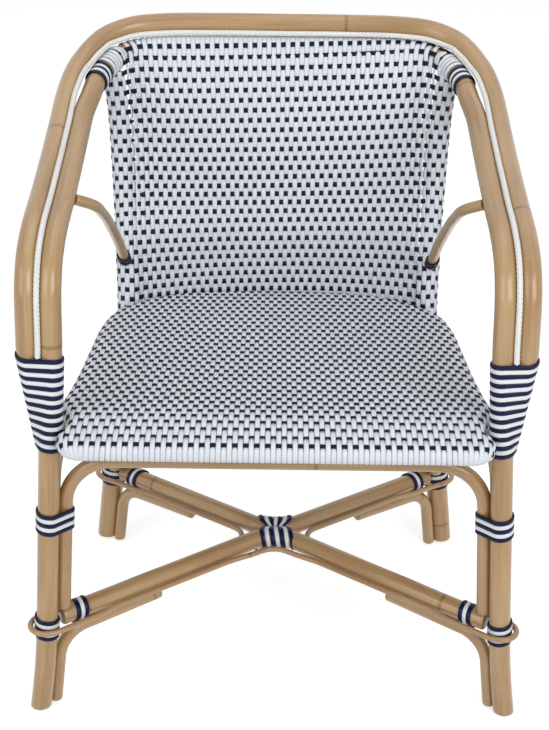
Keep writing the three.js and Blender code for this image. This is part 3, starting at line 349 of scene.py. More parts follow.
# Extruded polyethylene strand, smooth and a little waxy, with faint lengthwise die lines
def woven_strand(name, light, dark, roughness, shine=0.35):
    material, tree = new_material(name)
    uv = node(tree, "ShaderNodeUVMap", uv_map="UVMap").outputs["UV"]
    lines = node(tree, "ShaderNodeMapping", {"Vector": uv}, {"Scale": (12, 900, 1)}, vector_type="POINT")
    die = node(tree, "ShaderNodeTexNoise", {"Vector": lines.outputs["Vector"]},
               {"Scale": 1.0, "Detail": 2.0, "Roughness": 0.5})
    tones = ramp(tree, die.outputs["Fac"], [(0.25, colour(dark)), (0.6, colour(light))])
    bump = node(tree, "ShaderNodeBump", {"Height": die.outputs["Fac"]},
                {"Strength": 0.2, "Distance": 0.0002})
    gloss = node(tree, "ShaderNodeMapRange", {"Value": die.outputs["Fac"]},
                 {"To Min": roughness - 0.06, "To Max": roughness + 0.08})
    shader = node(tree, "ShaderNodeBsdfPrincipled",
                  {"Base Color": tones.outputs["Color"], "Roughness": gloss.outputs["Result"],
                   "Normal": bump.outputs["Normal"]},
                  {"IOR": 1.5, "Specular IOR Level": shine})
    node(tree, "ShaderNodeOutputMaterial", {"Surface": shader.outputs["BSDF"]})
    return material


# Moulded nylon glide, dark and matt with a fine pebbled skin
def moulded_nylon(name):
    material, tree = new_material(name)
    place = node(tree, "ShaderNodeTexCoord")
    pebble = node(tree, "ShaderNodeTexNoise", {"Vector": place.outputs["Object"]},
                  {"Scale": 900.0, "Detail": 2.0})
    tones = ramp(tree, pebble.outputs["Fac"], [(0.3, colour("#262220")), (0.7, colour("#37312D"))])
    bump = node(tree, "ShaderNodeBump", {"Height": pebble.outputs["Fac"]},
                {"Strength": 0.3, "Distance": 0.0002})
    shader = node(tree, "ShaderNodeBsdfPrincipled",
                  {"Base Color": tones.outputs["Color"], "Normal": bump.outputs["Normal"]},
                  {"Roughness": 0.6, "IOR": 1.53})
    node(tree, "ShaderNodeOutputMaterial", {"Surface": shader.outputs["BSDF"]})
    return material


RATTAN = varnished_rattan("varnished_rattan", "#BD9C6E", "#B08D5F", "#9F794D")
RATTAN_CANE = varnished_rattan("varnished_cane", "#BC9A6C", "#AC875B", "#967047")
WHITE_WEAVE = woven_strand("white_polyethylene_strand", "#E2E7EE", "#D6DBE3", 0.36)
NAVY_WEAVE = woven_strand("navy_polyethylene_strand", "#0A1330", "#060C20", 0.36, 0.14)
WHITE_BINDING = woven_strand("white_binding_strand", "#E9EBEE", "#DCDFE4", 0.26)
NAVY_BINDING = woven_strand("navy_binding_strand", "#0A1B40", "#06112A", 0.24, 0.16)
WHITE_CORD = woven_strand("white_twisted_cord", "#F0F0EE", "#DAD9D5", 0.5)
NYLON = moulded_nylon("moulded_nylon_glide")


# One mesh object in the row frame from points in the drawing frame, with its UVs in metres
def piece(name, points, faces, uvs, material, replaces=(), slot=None):
    mesh = bpy.data.meshes.new(name)
    placed = (np.asarray(points) + SHIFT) * MM
    mesh.from_pydata(placed.tolist(), [], faces)
    layer = mesh.uv_layers.new(name="UVMap")
    layer.data.foreach_set("uv", (np.asarray(uvs) * MM).ravel())
    mesh.polygons.foreach_set("use_smooth", [True] * len(mesh.polygons))
    mesh.materials.append(material)
    made = bpy.data.objects.new(name, mesh)
    bpy.context.scene.collection.objects.link(made)
    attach(made, "root")
    if replaces:
        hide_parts(*replaces)
    return made


# Faces and UVs of rings of points joined one to the next
def skin(rings, around, along, closed=False):
    count, sides = rings
    index = np.arange(count * sides).reshape(count, sides)
    nexts = np.roll(index, -1, 0) if closed else index[1:]
    firsts = index if closed else index[:-1]
    faces = np.stack([firsts, np.roll(firsts, -1, 1), np.roll(nexts, -1, 1), nexts], -1).reshape(-1, 4)
    start = along if closed else along[:-1]
    end = np.concatenate([along[1:], [2 * along[-1] - along[-2]]]) if closed else along[1:]
    u0 = np.repeat(start, sides)
    u1 = np.repeat(end, sides)
    v0 = np.tile(around[:-1], len(start))
    v1 = np.tile(around[1:], len(start))
    uvs = np.stack([np.stack([u0, v0], -1), np.stack([u0, v1], -1), np.stack([u1, v1], -1),
                    np.stack([u1, v0], -1)], 1).reshape(-1, 2)
    return faces.tolist(), uvs


# Close both ends of a skin with flat caps
def capped(faces, uvs, count, sides):
    last = (count - 1) * sides
    ends = [list(range(sides))[::-1], [last + k for k in range(sides)]]
    return faces + ends, np.vstack([uvs, np.zeros((2 * sides, 2))])


def both_sides(path):
    return ("right", path), ("left", mirrored(path))


# A pole's rounded end: where its rings lie, its largest share of the radius and its smallest ring
END_DEGREES = (90, 62, 35, 12)
END_SHARE = 0.8
END_TIP = 0.05

# Each pole and each strand takes its own part of the pattern, this far from the one before
POLE_PATTERN_STEP = 137.0
STRAND_PATTERN_STEP = 23.0

# A path this steep counts as upright, and an end needs this much rise to be cut level
UPRIGHT_RISE = 0.7
LEVEL_RISE = 0.1

pole_count = 0


# A round pole along a path, with eased ends
def pole(name, path, radius, material, sides=24, closed=False, level=(False, False), edge=1.6,
         modulate=None, **words):
    global pole_count
    pole_count += 1
    path = np.asarray(path, float)
    radii = np.full(len(path), float(radius)) if np.isscalar(radius) else np.asarray(radius, float)
    t = tangents(path, closed)
    levels = np.zeros(len(path), bool)
    along = lengths_of(path)
    if not closed:
        levels[[0, -1]] = level
        turns = np.radians(END_DEGREES)
        for end, sign in ((0, -1), (-1, 1)):
            r = radii[end]
            cap = min(edge, r * END_SHARE)
            shrink = r - cap * (1 - np.cos(turns))
            reach = cap * (1 - np.sin(turns))
            tip = np.maximum(shrink, END_TIP)
            ring_points = path[end] - sign * t[end] * reach[:, None]
            keep = np.linalg.norm(path - path[end], axis=1) > cap
            if end == 0:
                path = np.vstack([ring_points, path[keep]])
                radii = np.concatenate([tip, radii[keep]])
                t = np.vstack([np.repeat(t[:1], len(turns), 0), t[keep]])
                levels = np.concatenate([np.full(len(turns), level[0]), levels[keep]])
            else:
                path = np.vstack([path[keep], ring_points[::-1]])
                radii = np.concatenate([radii[keep], tip[::-1]])
                t = np.vstack([t[keep], np.repeat(t[-1:], len(turns), 0)])
                levels = np.concatenate([levels[keep], np.full(len(turns), level[1])])
        along = lengths_of(path)
    hint = vec(1, 0, 0) if abs(t[0][2]) > UPRIGHT_RISE else vec(0, 0, 1)
    normal = unit(np.cross(hint, t[0]))
    normals = []
    for i in range(len(path)):
        if closed:
            normal = np.cross(vec(0, 0, 1), t[i])
        normal = unit(normal - t[i] * (normal @ t[i]))
        normals.append(normal)
    normals = np.array(normals)
    side = np.cross(t, normals)
    angles = np.linspace(0, 2 * math.pi, sides, endpoint=False)
    scale = np.ones((len(path), sides)) if modulate is None else modulate(along[:, None], angles[None, :])
    offset = (normals[:, None, :] * np.cos(angles)[None, :, None]
              + side[:, None, :] * np.sin(angles)[None, :, None])
    offset = offset * (radii[:, None] * scale)[:, :, None]
    climb = np.where(np.abs(t[:, 2]) > LEVEL_RISE, t[:, 2], 1)[:, None, None]
    flat = offset - t[:, None, :] * (offset[:, :, 2:] / climb)
    offset = np.where(levels[:, None, None], flat, offset)
    points = (path[:, None, :] + offset).reshape(-1, 3)
    around = np.linspace(0, 2 * math.pi * float(np.max(radii)), sides + 1)
    faces, uvs = skin((len(path), sides), around, along + POLE_PATTERN_STEP * pole_count, closed)
    if not closed:
        for first, order in ((0, -1), ((len(path) - 1) * sides, 1)):
            faces.append([first + k for k in range(sides)][::order])
            uvs = np.vstack([uvs, points[first:first + sides, :2][::order]])
    return piece(name, points, faces, uvs, material, **words)


# Outer hoop: half of its axis in shares of the arm spread, the hoop depth and the rise above the post
OUTER_SHARES = [
    (1.0165, 0.011, 0.276), (1.0145, 0.052, 0.403), (1.011, 0.131, 0.484), (1.005, 0.261, 0.541),
    (1.001, 0.41, 0.604), (0.9965, 0.56, 0.68), (0.988, 0.709, 0.775), (0.967, 0.793, 0.838),
    (0.94, 0.843, 0.874), (0.9, 0.892, 0.915), (0.842, 0.94, 0.952), (0.725, 0.9795, 0.985),
    (0.572, 0.995, 0.997), (0.312, 1, 1), (0, 1, 1),
]
LEG_SLOPE = FRONT_POST_SPLAY / (POST_TOP_HEIGHT - FRONT_JOINT_HEIGHT)
HOOP_RISE = TOP_HEIGHT - POST_TOP_HEIGHT
PAIR_SPACING = HOOP_POLE + ARISE_PAIR_GAP
POST_TOP_SHARE = 0.806

# The hoops part for the weave between these shares of the depth
PARTING_SHARES = (0.6, 0.72)


def front_post_x(z):
    return FRONT_POST_HALF_SPREAD + (POST_TOP_HEIGHT - z) * LEG_SLOPE


def front_leg_axis(z):
    share = np.clip(1 - z / FRONT_JOINT_HEIGHT, 0, 1)
    return vec(front_post_x(z) + FRONT_FOOT_KICK * share * share, 0, z)


outer_top = [vec(x * ARM_HALF_SPREAD, y * HOOP_DEPTH, POST_TOP_HEIGHT + z * HOOP_RISE)
             for x, y, z in OUTER_SHARES]
rise = [ARM_WRAP_BOTTOM, (ARM_WRAP_BOTTOM + POST_TOP_HEIGHT) / 2, POST_TOP_HEIGHT]
outer_half = np.array([vec(front_post_x(z) + PAIR_SPACING, 0, z) for z in rise] + outer_top)
outer_fine = evenly(catmull(np.vstack([outer_half, mirrored(outer_half[:-1])[::-1]])), HOOP_STEPS)
RECLINE = unit(vec(0, TOP_HEIGHT - BACK_RAIL_HEIGHT, BACK_RAIL_DEPTH - HOOP_DEPTH))
hoop_tangents = tangents(outer_fine)
sideways = unit(np.cross(hoop_tangents, RECLINE))
weave_share = smoothstep(outer_fine[:, 1] / HOOP_DEPTH, *PARTING_SHARES)
pair_gap = PAIR_SPACING + weave_share * (WEAVE_PAIR_GAP - ARISE_PAIR_GAP)
inner_fine = outer_fine + sideways * pair_gap[:, None]
first_index = int(np.argmax(outer_fine[:, 2] > POST_TOP_HEIGHT))
middle_index = HOOP_STEPS // 2


# The stretch of a hoop from one place on the right to its mirror image on the left
def whole(fine, first=first_index):
    right = fine[first:middle_index + 1]
    return np.vstack([right, mirrored(right[:-1])[::-1]])


def outer_radius(z):
    return HOOP_R * np.clip((z - TAPER_END) / (POST_TOP_HEIGHT - TAPER_END), 0, 1)


leg_heights = np.linspace(GLIDE_HEIGHT + CLEARANCE, POST_TOP_HEIGHT, 60)
right_leg = np.array([front_leg_axis(z) for z in leg_heights])
inner_path = np.vstack([right_leg, whole(inner_fine), mirrored(right_leg)[::-1]])
inner_path = eased(spaced(inner_path, PATH_STEP), 6)
pole("inner_hoop_pole", inner_path, HOOP_R, RATTAN, level=(True, True),
     replaces=["inner_hoop"], slot="rattan")

taper_heights = np.linspace(OUTER_TIP_HEIGHT, POST_TOP_HEIGHT, 24, endpoint=False)
taper = np.array([vec(front_post_x(z) + HOOP_R + outer_radius(z) + ARISE_PAIR_GAP, 0, z)
                  for z in taper_heights])
outer_path = np.vstack([taper, whole(outer_fine), mirrored(taper)[::-1]])
outer_path = eased(spaced(outer_path, PATH_STEP), 4)
pole("outer_hoop_pole", outer_path, outer_radius(outer_path[:, 2]), RATTAN, level=(True, True),
     replaces=["outer_hoop"], slot="rattan")

# White piping in the groove between the two hoops, twisted from three strands
to_outer = HOOP_R + CORD_R + CLEARANCE
to_inner = to_outer + weave_share * PIPING_LIFT
groove_x = (to_outer ** 2 - to_inner ** 2 + pair_gap ** 2) / (2 * pair_gap)
groove_h = np.sqrt(to_outer ** 2 - groove_x ** 2)
hoop_face = np.cross(hoop_tangents, sideways)
groove = outer_fine + sideways * groove_x[:, None] + hoop_face * groove_h[:, None]
WRAP_TOP = ARM_WRAP_BOTTOM + 2 * ARM_WRAP_LOOPS * BINDING_PITCH
CORD_UNDER_WRAP = 3
piping_path = whole(groove, int(np.argmax(outer_fine[:, 2] > WRAP_TOP - CORD_UNDER_WRAP)))
CORD_LAY = 16.5
CORD_STRANDS = 3
CORD_VALLEY = 0.7
STRAND_ROUNDNESS = 0.7


def twist(along, angle):
    turn = CORD_STRANDS * (angle + 2 * math.pi * along / CORD_LAY)
    return CORD_VALLEY + (1 - CORD_VALLEY) * np.abs(np.cos(turn / 2)) ** STRAND_ROUNDNESS


pole("piping_cord", spaced(piping_path, PIPING_STEP), CORD_R, WHITE_CORD, sides=18, modulate=twist,
     replaces=["piping"], slot="piping_white")

# Rear legs run up as the posts of the back and end under the inner hoop
REAR_SLOPE_X = (REAR_FOOT_HALF_SPREAD - POST_SEAT_HALF_SPREAD) / POST_BEND_HEIGHT
REAR_SLOPE_Y = (REAR_FOOT_DEPTH - POST_SEAT_DEPTH) / POST_BEND_HEIGHT


def rear_leg_axis(z):
    return vec(REAR_FOOT_HALF_SPREAD - REAR_SLOPE_X * z, REAR_FOOT_DEPTH - REAR_SLOPE_Y * z, z)


half_fine = inner_fine[:middle_index + 1]
from_post_top = np.abs(half_fine[:, 0] - ARM_HALF_SPREAD * POST_TOP_SHARE)
from_post_top[half_fine[:, 1] <= HOOP_DEPTH / 2] = np.inf
post_top = half_fine[int(np.argmin(from_post_top))]
post_base = rear_leg_axis(POST_BEND_HEIGHT)
post_points = [post_base + (post_top - post_base) * vec(*s)
               for s in ((0.25, 0.32, 0.19), (0.45, 0.72, 0.43), (0.68, 0.95, 0.76))]
rear_control = [rear_leg_axis(z) for z in (GLIDE_HEIGHT + CLEARANCE, POST_BEND_HEIGHT / 3,
                                           2 * POST_BEND_HEIGHT / 3, POST_BEND_HEIGHT - REAR_LEG_POLE)]
rear_fine = evenly(catmull(rear_control + post_points + [post_top]), POST_STEPS)


def post_radius(z):
    return REAR_R + (POST_R - REAR_R) * smoothstep(z, MID_BINDING_HEIGHT, POST_BEND_HEIGHT)


reach_hoop = np.linalg.norm(rear_fine[:, None] - inner_path[None], axis=2).min(1)
rear_path = rear_fine[reach_hoop > HOOP_R + CLEARANCE]
for side_name, path in both_sides(rear_path):
    pole(f"rear_leg_{side_name}_pole", path, post_radius(path[:, 2]), RATTAN, level=(True, False),
         replaces=[f"rear_leg_{side_name}"], slot="rattan")

# Bottom rail of the back between the posts
RAIL_SHARES = [(0, 1), (0.3, 1), (0.5, 0.97), (0.65, 0.86), (0.78, 0.64), (0.9, 0.32)]
rail_end = rear_leg_axis(BACK_RAIL_HEIGHT)
rail_half = [vec(x * rail_end[0], rail_end[1] + (BACK_RAIL_DEPTH - rail_end[1]) * y, BACK_RAIL_HEIGHT)
             for x, y in RAIL_SHARES]
rail_left = [mirrored(p) for p in rail_half[1:]][::-1]
rail_curve = evenly(catmull([mirrored(rail_end)] + rail_left + rail_half + [rail_end]), RAIL_STEPS)
from_post = np.minimum(np.linalg.norm(rail_curve - rail_end, axis=1),
                       np.linalg.norm(rail_curve - mirrored(rail_end), axis=1))
pole("back_bottom_rail_pole", rail_curve[from_post > REAR_R + CLEARANCE], RAIL_R, RATTAN,
     replaces=["back_bottom_rail"], slot="rattan")


# How far a binding strand reaches from the axis of a pole, at its corners
def strand_corner(r):
    return (r + CLEARANCE + BINDING_THICKNESS) / math.cos(math.pi / 8)


# Seat frame: along the front, close round each post, then shares of the half width and the depth
POST_REACH = SKIN_OUTER + strand_corner(HOOP_R) + 5 * CLEARANCE
SEAT_POST_X = front_post_x(SEAT_HEIGHT - SKIN_OUTER)
SEAT_HALF_WIDTH = SEAT_POST_X - SEAT_SIDE_INSET
SEAT_DEPTH = BACK_RAIL_DEPTH - SEAT_BACK_GAP
JOG_DEGREES = (47, 66, 86, 106)
CORNER_SHARES = [(0.5, 1), (0.8, 1), (0.94, 1), (0.98, 0.9)]
SEAT_SHARES = [
    (1, 0.107), (0.984, 0.191), (0.97, 0.263), (0.958, 0.334), (0.948, 0.408), (0.94, 0.477),
    (0.931, 0.544), (0.923, 0.625), (0.909, 0.704), (0.885, 0.776), (0.857, 0.819), (0.813, 0.854),
    (0.748, 0.891), (0.664, 0.931), (0.563, 0.962), (0.451, 0.981), (0.241, 0.995),
]


# Height of the woven seat: it falls over the front and leans back from there
def seat_top(y):
    front = np.clip(1 - (y + POST_REACH) / (SEAT_FRONT_BLEND + POST_REACH), 0, 1)
    rear = np.clip((y - SEAT_FRONT_BLEND) / (SEAT_DEPTH - SEAT_FRONT_BLEND), 0, 1)
    return SEAT_HEIGHT - SEAT_FRONT_DROP * front * front - SEAT_BACK_DROP * rear


seat_front = [vec(x * SEAT_HALF_WIDTH, -y * POST_REACH, 0) for x, y in CORNER_SHARES]
seat_jog = [vec(SEAT_POST_X - POST_REACH * math.sin(a), -POST_REACH * math.cos(a), 0)
            for a in np.radians(JOG_DEGREES)]
seat_side = [vec(x * SEAT_HALF_WIDTH, y * SEAT_DEPTH, 0) for x, y in SEAT_SHARES]
seat_half = seat_front + seat_jog + seat_side
seat_control = ([vec(0, -POST_REACH, 0)] + seat_half + [vec(0, SEAT_DEPTH, 0)]
                + [mirrored(p) for p in seat_half][::-1])
seat_closed = catmull(seat_control, closed=True)
seat_frame = evenly(np.vstack([seat_closed, seat_closed[:1]]), SEAT_FRAME_STEPS)[:-1]
seat_frame[:, 2] = seat_top(seat_frame[:, 1]) - SKIN_OUTER
pole("seat_frame_pole", seat_frame, SEAT_FRAME_POLE / 2, RATTAN, sides=16, closed=True,
     replaces=["seat_frame"], slot="rattan")

# Stretchers: two bent poles whose bends meet in the middle
MEET = STRETCHER_POLE + ARISE_PAIR_GAP
STRETCHER_STANDOFF = 2.6
front_apex = vec(0, CROSS_DEPTH - MEET / 2, CROSS_HEIGHT)
rear_apex = vec(0, CROSS_DEPTH + MEET / 2, CROSS_HEIGHT)


def bent_path(leg, apex):
    corner = apex.copy()
    for _ in range(8):
        slope = math.atan2(abs(corner[1] - leg[1]), leg[0])
        corner[1] = apex[1] + math.copysign(STRETCHER_BEND * (1 / math.cos(slope) - 1), corner[1] - leg[1])
    return filleted([leg, corner, mirrored(leg)], STRETCHER_BEND, 18)


front_joint = front_leg_axis(FRONT_JOINT_HEIGHT)
rear_joint = rear_leg_axis(REAR_JOINT_HEIGHT)
front_cross = bent_path(front_joint, front_apex)
rear_cross = bent_path(rear_joint, rear_apex)
for name, path, r in (("front", front_cross, HOOP_R), ("rear", rear_cross, REAR_R)):
    dense = spaced(path, STRETCHER_STEP)
    off_leg = np.minimum(np.linalg.norm(dense - path[0], axis=1), np.linalg.norm(dense - path[-1], axis=1))
    pole(f"{name}_stretcher_pole", dense[off_leg > r + STRETCHER_STANDOFF], STRETCHER_R, RATTAN, edge=3,
         replaces=[f"{name}_stretcher"], slot="rattan")


def arm_of(joint, axis, r, path):
    plan = path[1] - joint
    plan[2] = 0
    return {"leg": joint, "axis": axis, "r": r, "dir": unit(plan), "path": path}


front_arm = arm_of(front_joint, front_leg_axis, HOOP_R, front_cross)
rear_arm = arm_of(rear_joint, rear_leg_axis, REAR_R, rear_cross)


def arm_point(arm, reach):
    return arm["leg"] + unit(arm["path"][1] - arm["leg"]) * reach


# Foot braces: up beside each leg, then under the stretcher
BOUND_DROP = strand_corner(STRETCHER_R) + CLEARANCE + BRACE_R
BARE_DROP = STRETCHER_R + CLEARANCE + BRACE_R + BRACE_SAG


def binding_start(arm):
    return arm["r"] + ARCH_POLE + CAD_STRAND_WIDTH / 2 + CLEARANCE


def binding_end(arm):
    return binding_start(arm) + 4 * BINDING_PITCH + CAD_STRAND_WIDTH


def foot_brace_path(arm, reach):
    beside = arm["dir"] * (arm["r"] + BRACE_R + CLEARANCE / 2)
    turn_height = arm_point(arm, 0)[2] - BOUND_DROP
    foot = arm["axis"](GLIDE_HEIGHT + CLEARANCE) + beside
    knee = arm["axis"](turn_height) + beside
    under_binding = arm_point(arm, binding_end(arm)) - vec(0, 0, BOUND_DROP)
    end = arm_point(arm, reach) - vec(0, 0, BARE_DROP)
    bend = filleted([foot, knee, under_binding], BRACE_BEND)
    return spaced(np.vstack([bend, end[None]]), PATH_STEP)


for label, arm, reach in (("front", front_arm, FRONT_BRACE_REACH), ("rear", rear_arm, REAR_BRACE_REACH)):
    for side_name, path in both_sides(foot_brace_path(arm, reach)):
        pole(f"foot_brace_{label}_{side_name}_pole", path, BRACE_R, RATTAN, sides=20, level=(True, False),
             edge=2.5, replaces=[f"foot_brace_{label}_{side_name}"], slot="rattan")

# Arches: inverted U poles bound to the legs under the seat
NEAR_DEGREES = 32.7
FAR_DEGREES = 84


def arch_offset(r, degrees, back):
    d = r + ARCH_R + CLEARANCE + (ARISE_PAIR_GAP if r == REAR_R else 0)
    a = math.radians(degrees)
    return vec(-d * math.cos(a), back * d * math.sin(a), 0)


def beside_leg(axis, offset):
    return lambda z: axis(z) + offset


front_near = beside_leg(front_leg_axis, arch_offset(HOOP_R, NEAR_DEGREES, 1))
front_far = beside_leg(front_leg_axis, arch_offset(HOOP_R, FAR_DEGREES, 1))
rear_near = beside_leg(rear_leg_axis, arch_offset(REAR_R, NEAR_DEGREES, -1))
rear_far = beside_leg(rear_leg_axis, arch_offset(REAR_R, FAR_DEGREES, -1))


def arch_foot(arm):
    return max(arm_point(arm, 0)[2], arm_point(arm, 2 * ARCH_POLE)[2]) + STRETCHER_R + 2 * CLEARANCE


def cross_arch(near, foot, height, bend):
    right = [near(foot), near(height)]
    return filleted([*right, *[mirrored(p) for p in right][::-1]], bend)


def arch(name, path, node_name):
    pole(name, spaced(path, PATH_STEP), ARCH_R, RATTAN, sides=20, level=(True, True), edge=2,
         replaces=[node_name], slot="rattan")


arch("front_arch_pole", cross_arch(front_near, arch_foot(front_arm), FRONT_ARCH_HEIGHT, FRONT_ARCH_BEND),
     "front_arch")
SIDE_ARCH_HEIGHT = seat_top(POST_SEAT_DEPTH - ARCH_BEND) - 2 * SKIN_OUTER - ARCH_R - 2 * CLEARANCE
side_arch = filleted([front_far(arch_foot(front_arm)), front_far(SIDE_ARCH_HEIGHT),
                      rear_far(SIDE_ARCH_HEIGHT), rear_far(arch_foot(rear_arm))], ARCH_BEND)
arch("rear_arch_pole", cross_arch(rear_near, arch_foot(rear_arm), SIDE_ARCH_HEIGHT, ARCH_BEND), "rear_arch")
arch("side_arch_right_pole", side_arch, "side_arch_right")
arch("side_arch_left_pole", mirrored(side_arch), "side_arch_left")

# Thin cane loop: beside both faces of each arm of the cross and round each leg
BARE_SIDE = STRETCHER_R + CANE_R + CLEARANCE
BOUND_SIDE = strand_corner(STRETCHER_R) + CANE_R + 5 * CLEARANCE
LEG_STEP_DEGREES = 30


def across(arm):
    return vec(-arm["dir"][1], arm["dir"][0], 0)


def cane_at(arm, turn, reach, wide):
    return arm_point(arm, reach) + across(arm) * turn * wide - vec(0, 0, CANE_DROP)


def run_length(arm):
    return np.linalg.norm(arm["path"][1] - arm["leg"])


def cane_run(arm, turn, outer):
    length = run_length(arm)
    ease = STRETCHER_BEND / 2
    run = [(length - ease / 2, BOUND_SIDE), (length - 2 * ease, BARE_SIDE)] if outer else []
    run += [(binding_end(arm) + ease, BARE_SIDE), (binding_end(arm), BOUND_SIDE),
            (binding_start(arm) - BINDING_PITCH, BOUND_SIDE)]
    return [cane_at(arm, turn, reach, wide) for reach, wide in run]


def cane_leg(arm, turn):
    centre = arm["axis"](arm["leg"][2] - CANE_DROP)
    wide = (strand_corner(arm["r"]) + CANE_R + 2 * CLEARANCE) / math.cos(math.radians(LEG_STEP_DEGREES / 2))
    points = []
    for degrees in range(90, 271, LEG_STEP_DEGREES):
        a = math.radians(degrees)
        points.append(centre + arm["dir"] * wide * math.cos(a) + across(arm) * turn * wide * math.sin(a))
    return points


def cane_bend(arm):
    arc = arm["path"][1:-1]
    middle = arc[(len(arc) - 1) // 2]
    inward = math.copysign(STRETCHER_BEND, middle[1] - arm["leg"][1])
    centre = vec(0, middle[1] - inward, middle[2])
    out = []
    for p in arc[:(len(arc) + 1) // 2][::-3]:
        q = p + unit(centre - p) * BOUND_SIDE
        q[2] = p[2] - CANE_DROP
        out.append(q)
    return out


front_outer = 1 if across(front_arm)[1] < 0 else -1
rear_outer = 1 if across(rear_arm)[1] > 0 else -1


def inner_line(arm, turn):
    return [cane_at(arm, turn, run_length(arm) * share, BARE_SIDE) for share in (0.5, 1)]


front_a, front_b = inner_line(front_arm, -front_outer)
rear_a, rear_b = inner_line(rear_arm, -rear_outer)
front_rise = (front_b[1] - front_a[1]) / (front_b[0] - front_a[0])
rear_rise = (rear_b[1] - rear_a[1]) / (rear_b[0] - rear_a[0])
wedge_x = ((rear_a[1] - rear_rise * rear_a[0] - front_a[1] + front_rise * front_a[0])
           / (front_rise - rear_rise))
wedge = vec(wedge_x, front_a[1] + front_rise * (wedge_x - front_a[0]), (front_b[2] + rear_b[2]) / 2)
hairpin = list(filleted([front_a, wedge, rear_a], HAIRPIN_BEND, 6))
right_loop = np.array([
    *cane_bend(front_arm), *cane_run(front_arm, front_outer, True), *cane_leg(front_arm, front_outer),
    *cane_run(front_arm, -front_outer, False)[::-1], *hairpin, *cane_run(rear_arm, -rear_outer, False),
    *cane_leg(rear_arm, -rear_outer), *cane_run(rear_arm, rear_outer, True)[::-1],
    *cane_bend(rear_arm)[::-1],
])
loop_path = np.vstack([right_loop, mirrored(right_loop[1:-1])[::-1]])
loop_dense = evenly(np.vstack([loop_path, loop_path[:1]]), CANE_LOOP_STEPS)[:-1]
pole("cane_loop_cane", eased(loop_dense, 8, True), CANE_R, RATTAN_CANE, sides=14, closed=True,
     replaces=["cane_loop"], slot="rattan")

# Arm braces from the inner arm poles down to the back posts
brace_start = half_fine[int(np.argmin(np.abs(half_fine[:, 1] - ARM_BRACE_START_DEPTH)))]
brace_core = rear_fine[int(np.argmin(np.abs(rear_fine[:, 2] - ARM_BRACE_END_HEIGHT)))]
brace_gap = post_radius(brace_core[2]) + 2 * CLEARANCE + BACK_SKIN + BINDING_THICKNESS + ARM_BRACE_R
brace_end = brace_core + vec(0, -brace_gap, 0)
brace_from = brace_start + vec(-HOOP_R - CLEARANCE, 0, 0)
brace_middle = [brace_from + (brace_end - brace_from) * vec(*s)
                for s in ((0.5, 0.08, 0.09), (0.72, 0.28, 0.25), (0.8, 0.51, 0.45), (0.92, 0.79, 0.74))]
brace_fine = evenly(catmull([brace_start, *brace_middle, brace_end]), ARM_BRACE_STEPS)
ARM_BRACE_SUNK = 2
from_hoop = np.linalg.norm(brace_fine[:, None] - inner_path[None], axis=2).min(1)
for side_name, path in both_sides(brace_fine[from_hoop > HOOP_R - ARM_BRACE_SUNK]):
    pole(f"arm_brace_{side_name}_pole", path, ARM_BRACE_R, RATTAN, sides=18, edge=0.6,
         replaces=[f"arm_brace_{side_name}"], slot="rattan")


# A flat strand swept along a path with its broad face turned out
FLAT_PROFILE = [(-0.5, -0.1), (-0.42, 0.3), (-0.2, 0.5), (0.2, 0.5), (0.42, 0.3), (0.5, -0.1), (0.4, -0.5),
                (-0.4, -0.5)]
WEAVE_PROFILE = [(-0.5, -0.05), (-0.3, 0.45), (0.3, 0.45), (0.5, -0.05), (0.28, -0.5), (-0.28, -0.5)]


def strand(centres, outward, width, thickness, profile):
    t = tangents(centres)
    side = unit(np.cross(t, outward))
    face_out = np.cross(side, t)
    shape = np.array(profile)
    points = (centres[:, None] + side[:, None] * (shape[:, 0] * width)[None, :, None]
              + face_out[:, None] * (shape[:, 1] * thickness)[None, :, None]).reshape(-1, 3)
    sides = len(shape)
    around = np.linspace(0, 2 * (width + thickness), sides + 1)
    faces, uvs = skin((len(centres), sides), around, lengths_of(centres))
    return points, *capped(faces, uvs, len(centres), sides)


def gathered(parts):
    points, faces, uvs = [], [], []
    start = 0
    for k, (p, f, uv) in enumerate(parts):
        points.append(p)
        faces += [[start + i for i in one] for one in f]
        uvs.append(uv + [0, STRAND_PATTERN_STEP * k])
        start += len(p)
    return np.vstack(points), faces, np.vstack(uvs)


LOOP_STEPS = 48
TUCK_STEPS = 4
COVER = CLEARANCE + BINDING_THICKNESS / 2


# One strand wound round a bundle of poles
def winding(place, circles, start, loops, turned, pitch=2 * BINDING_PITCH):
    centres, outward = [], []
    for j in range(loops * LOOP_STEPS + 1):
        h = start + pitch * j / LOOP_STEPS
        a = 2 * math.pi * (j / LOOP_STEPS + turned)
        n = np.array([math.cos(a), math.sin(a)])
        x, y, r = max(circles(h), key=lambda o: o[0] * n[0] + o[1] * n[1] + o[2])
        from_end = min(j, loops * LOOP_STEPS - j)
        tuck = BINDING_THICKNESS / 2 * (1 - min(1, from_end / TUCK_STEPS))
        held = n * (r + COVER - tuck)
        p = place(h, x + held[0], y + held[1])
        centres.append(p)
        outward.append(unit(place(h, x + held[0] + n[0], y + held[1] + n[1]) - p))
    return np.array(centres), np.array(outward)


def flipped(parts):
    points, faces, uvs = parts
    return mirrored(points), [face[::-1] for face in faces], uvs


# A wound strand on each side of the chair, or one in its middle, in place of the node of its name
def binding(name, wound, material, slot, both=True, width=BINDING_WIDTH, in_cad=True):
    parts = strand(*wound, width, BINDING_THICKNESS, FLAT_PROFILE)
    wanted = [("_right", parts), ("_left", flipped(parts))] if both else [("", parts)]
    for ending, shape in wanted:
        piece(f"{name}_strand{ending}", *shape, material, [name + ending] if in_cad else (), slot)


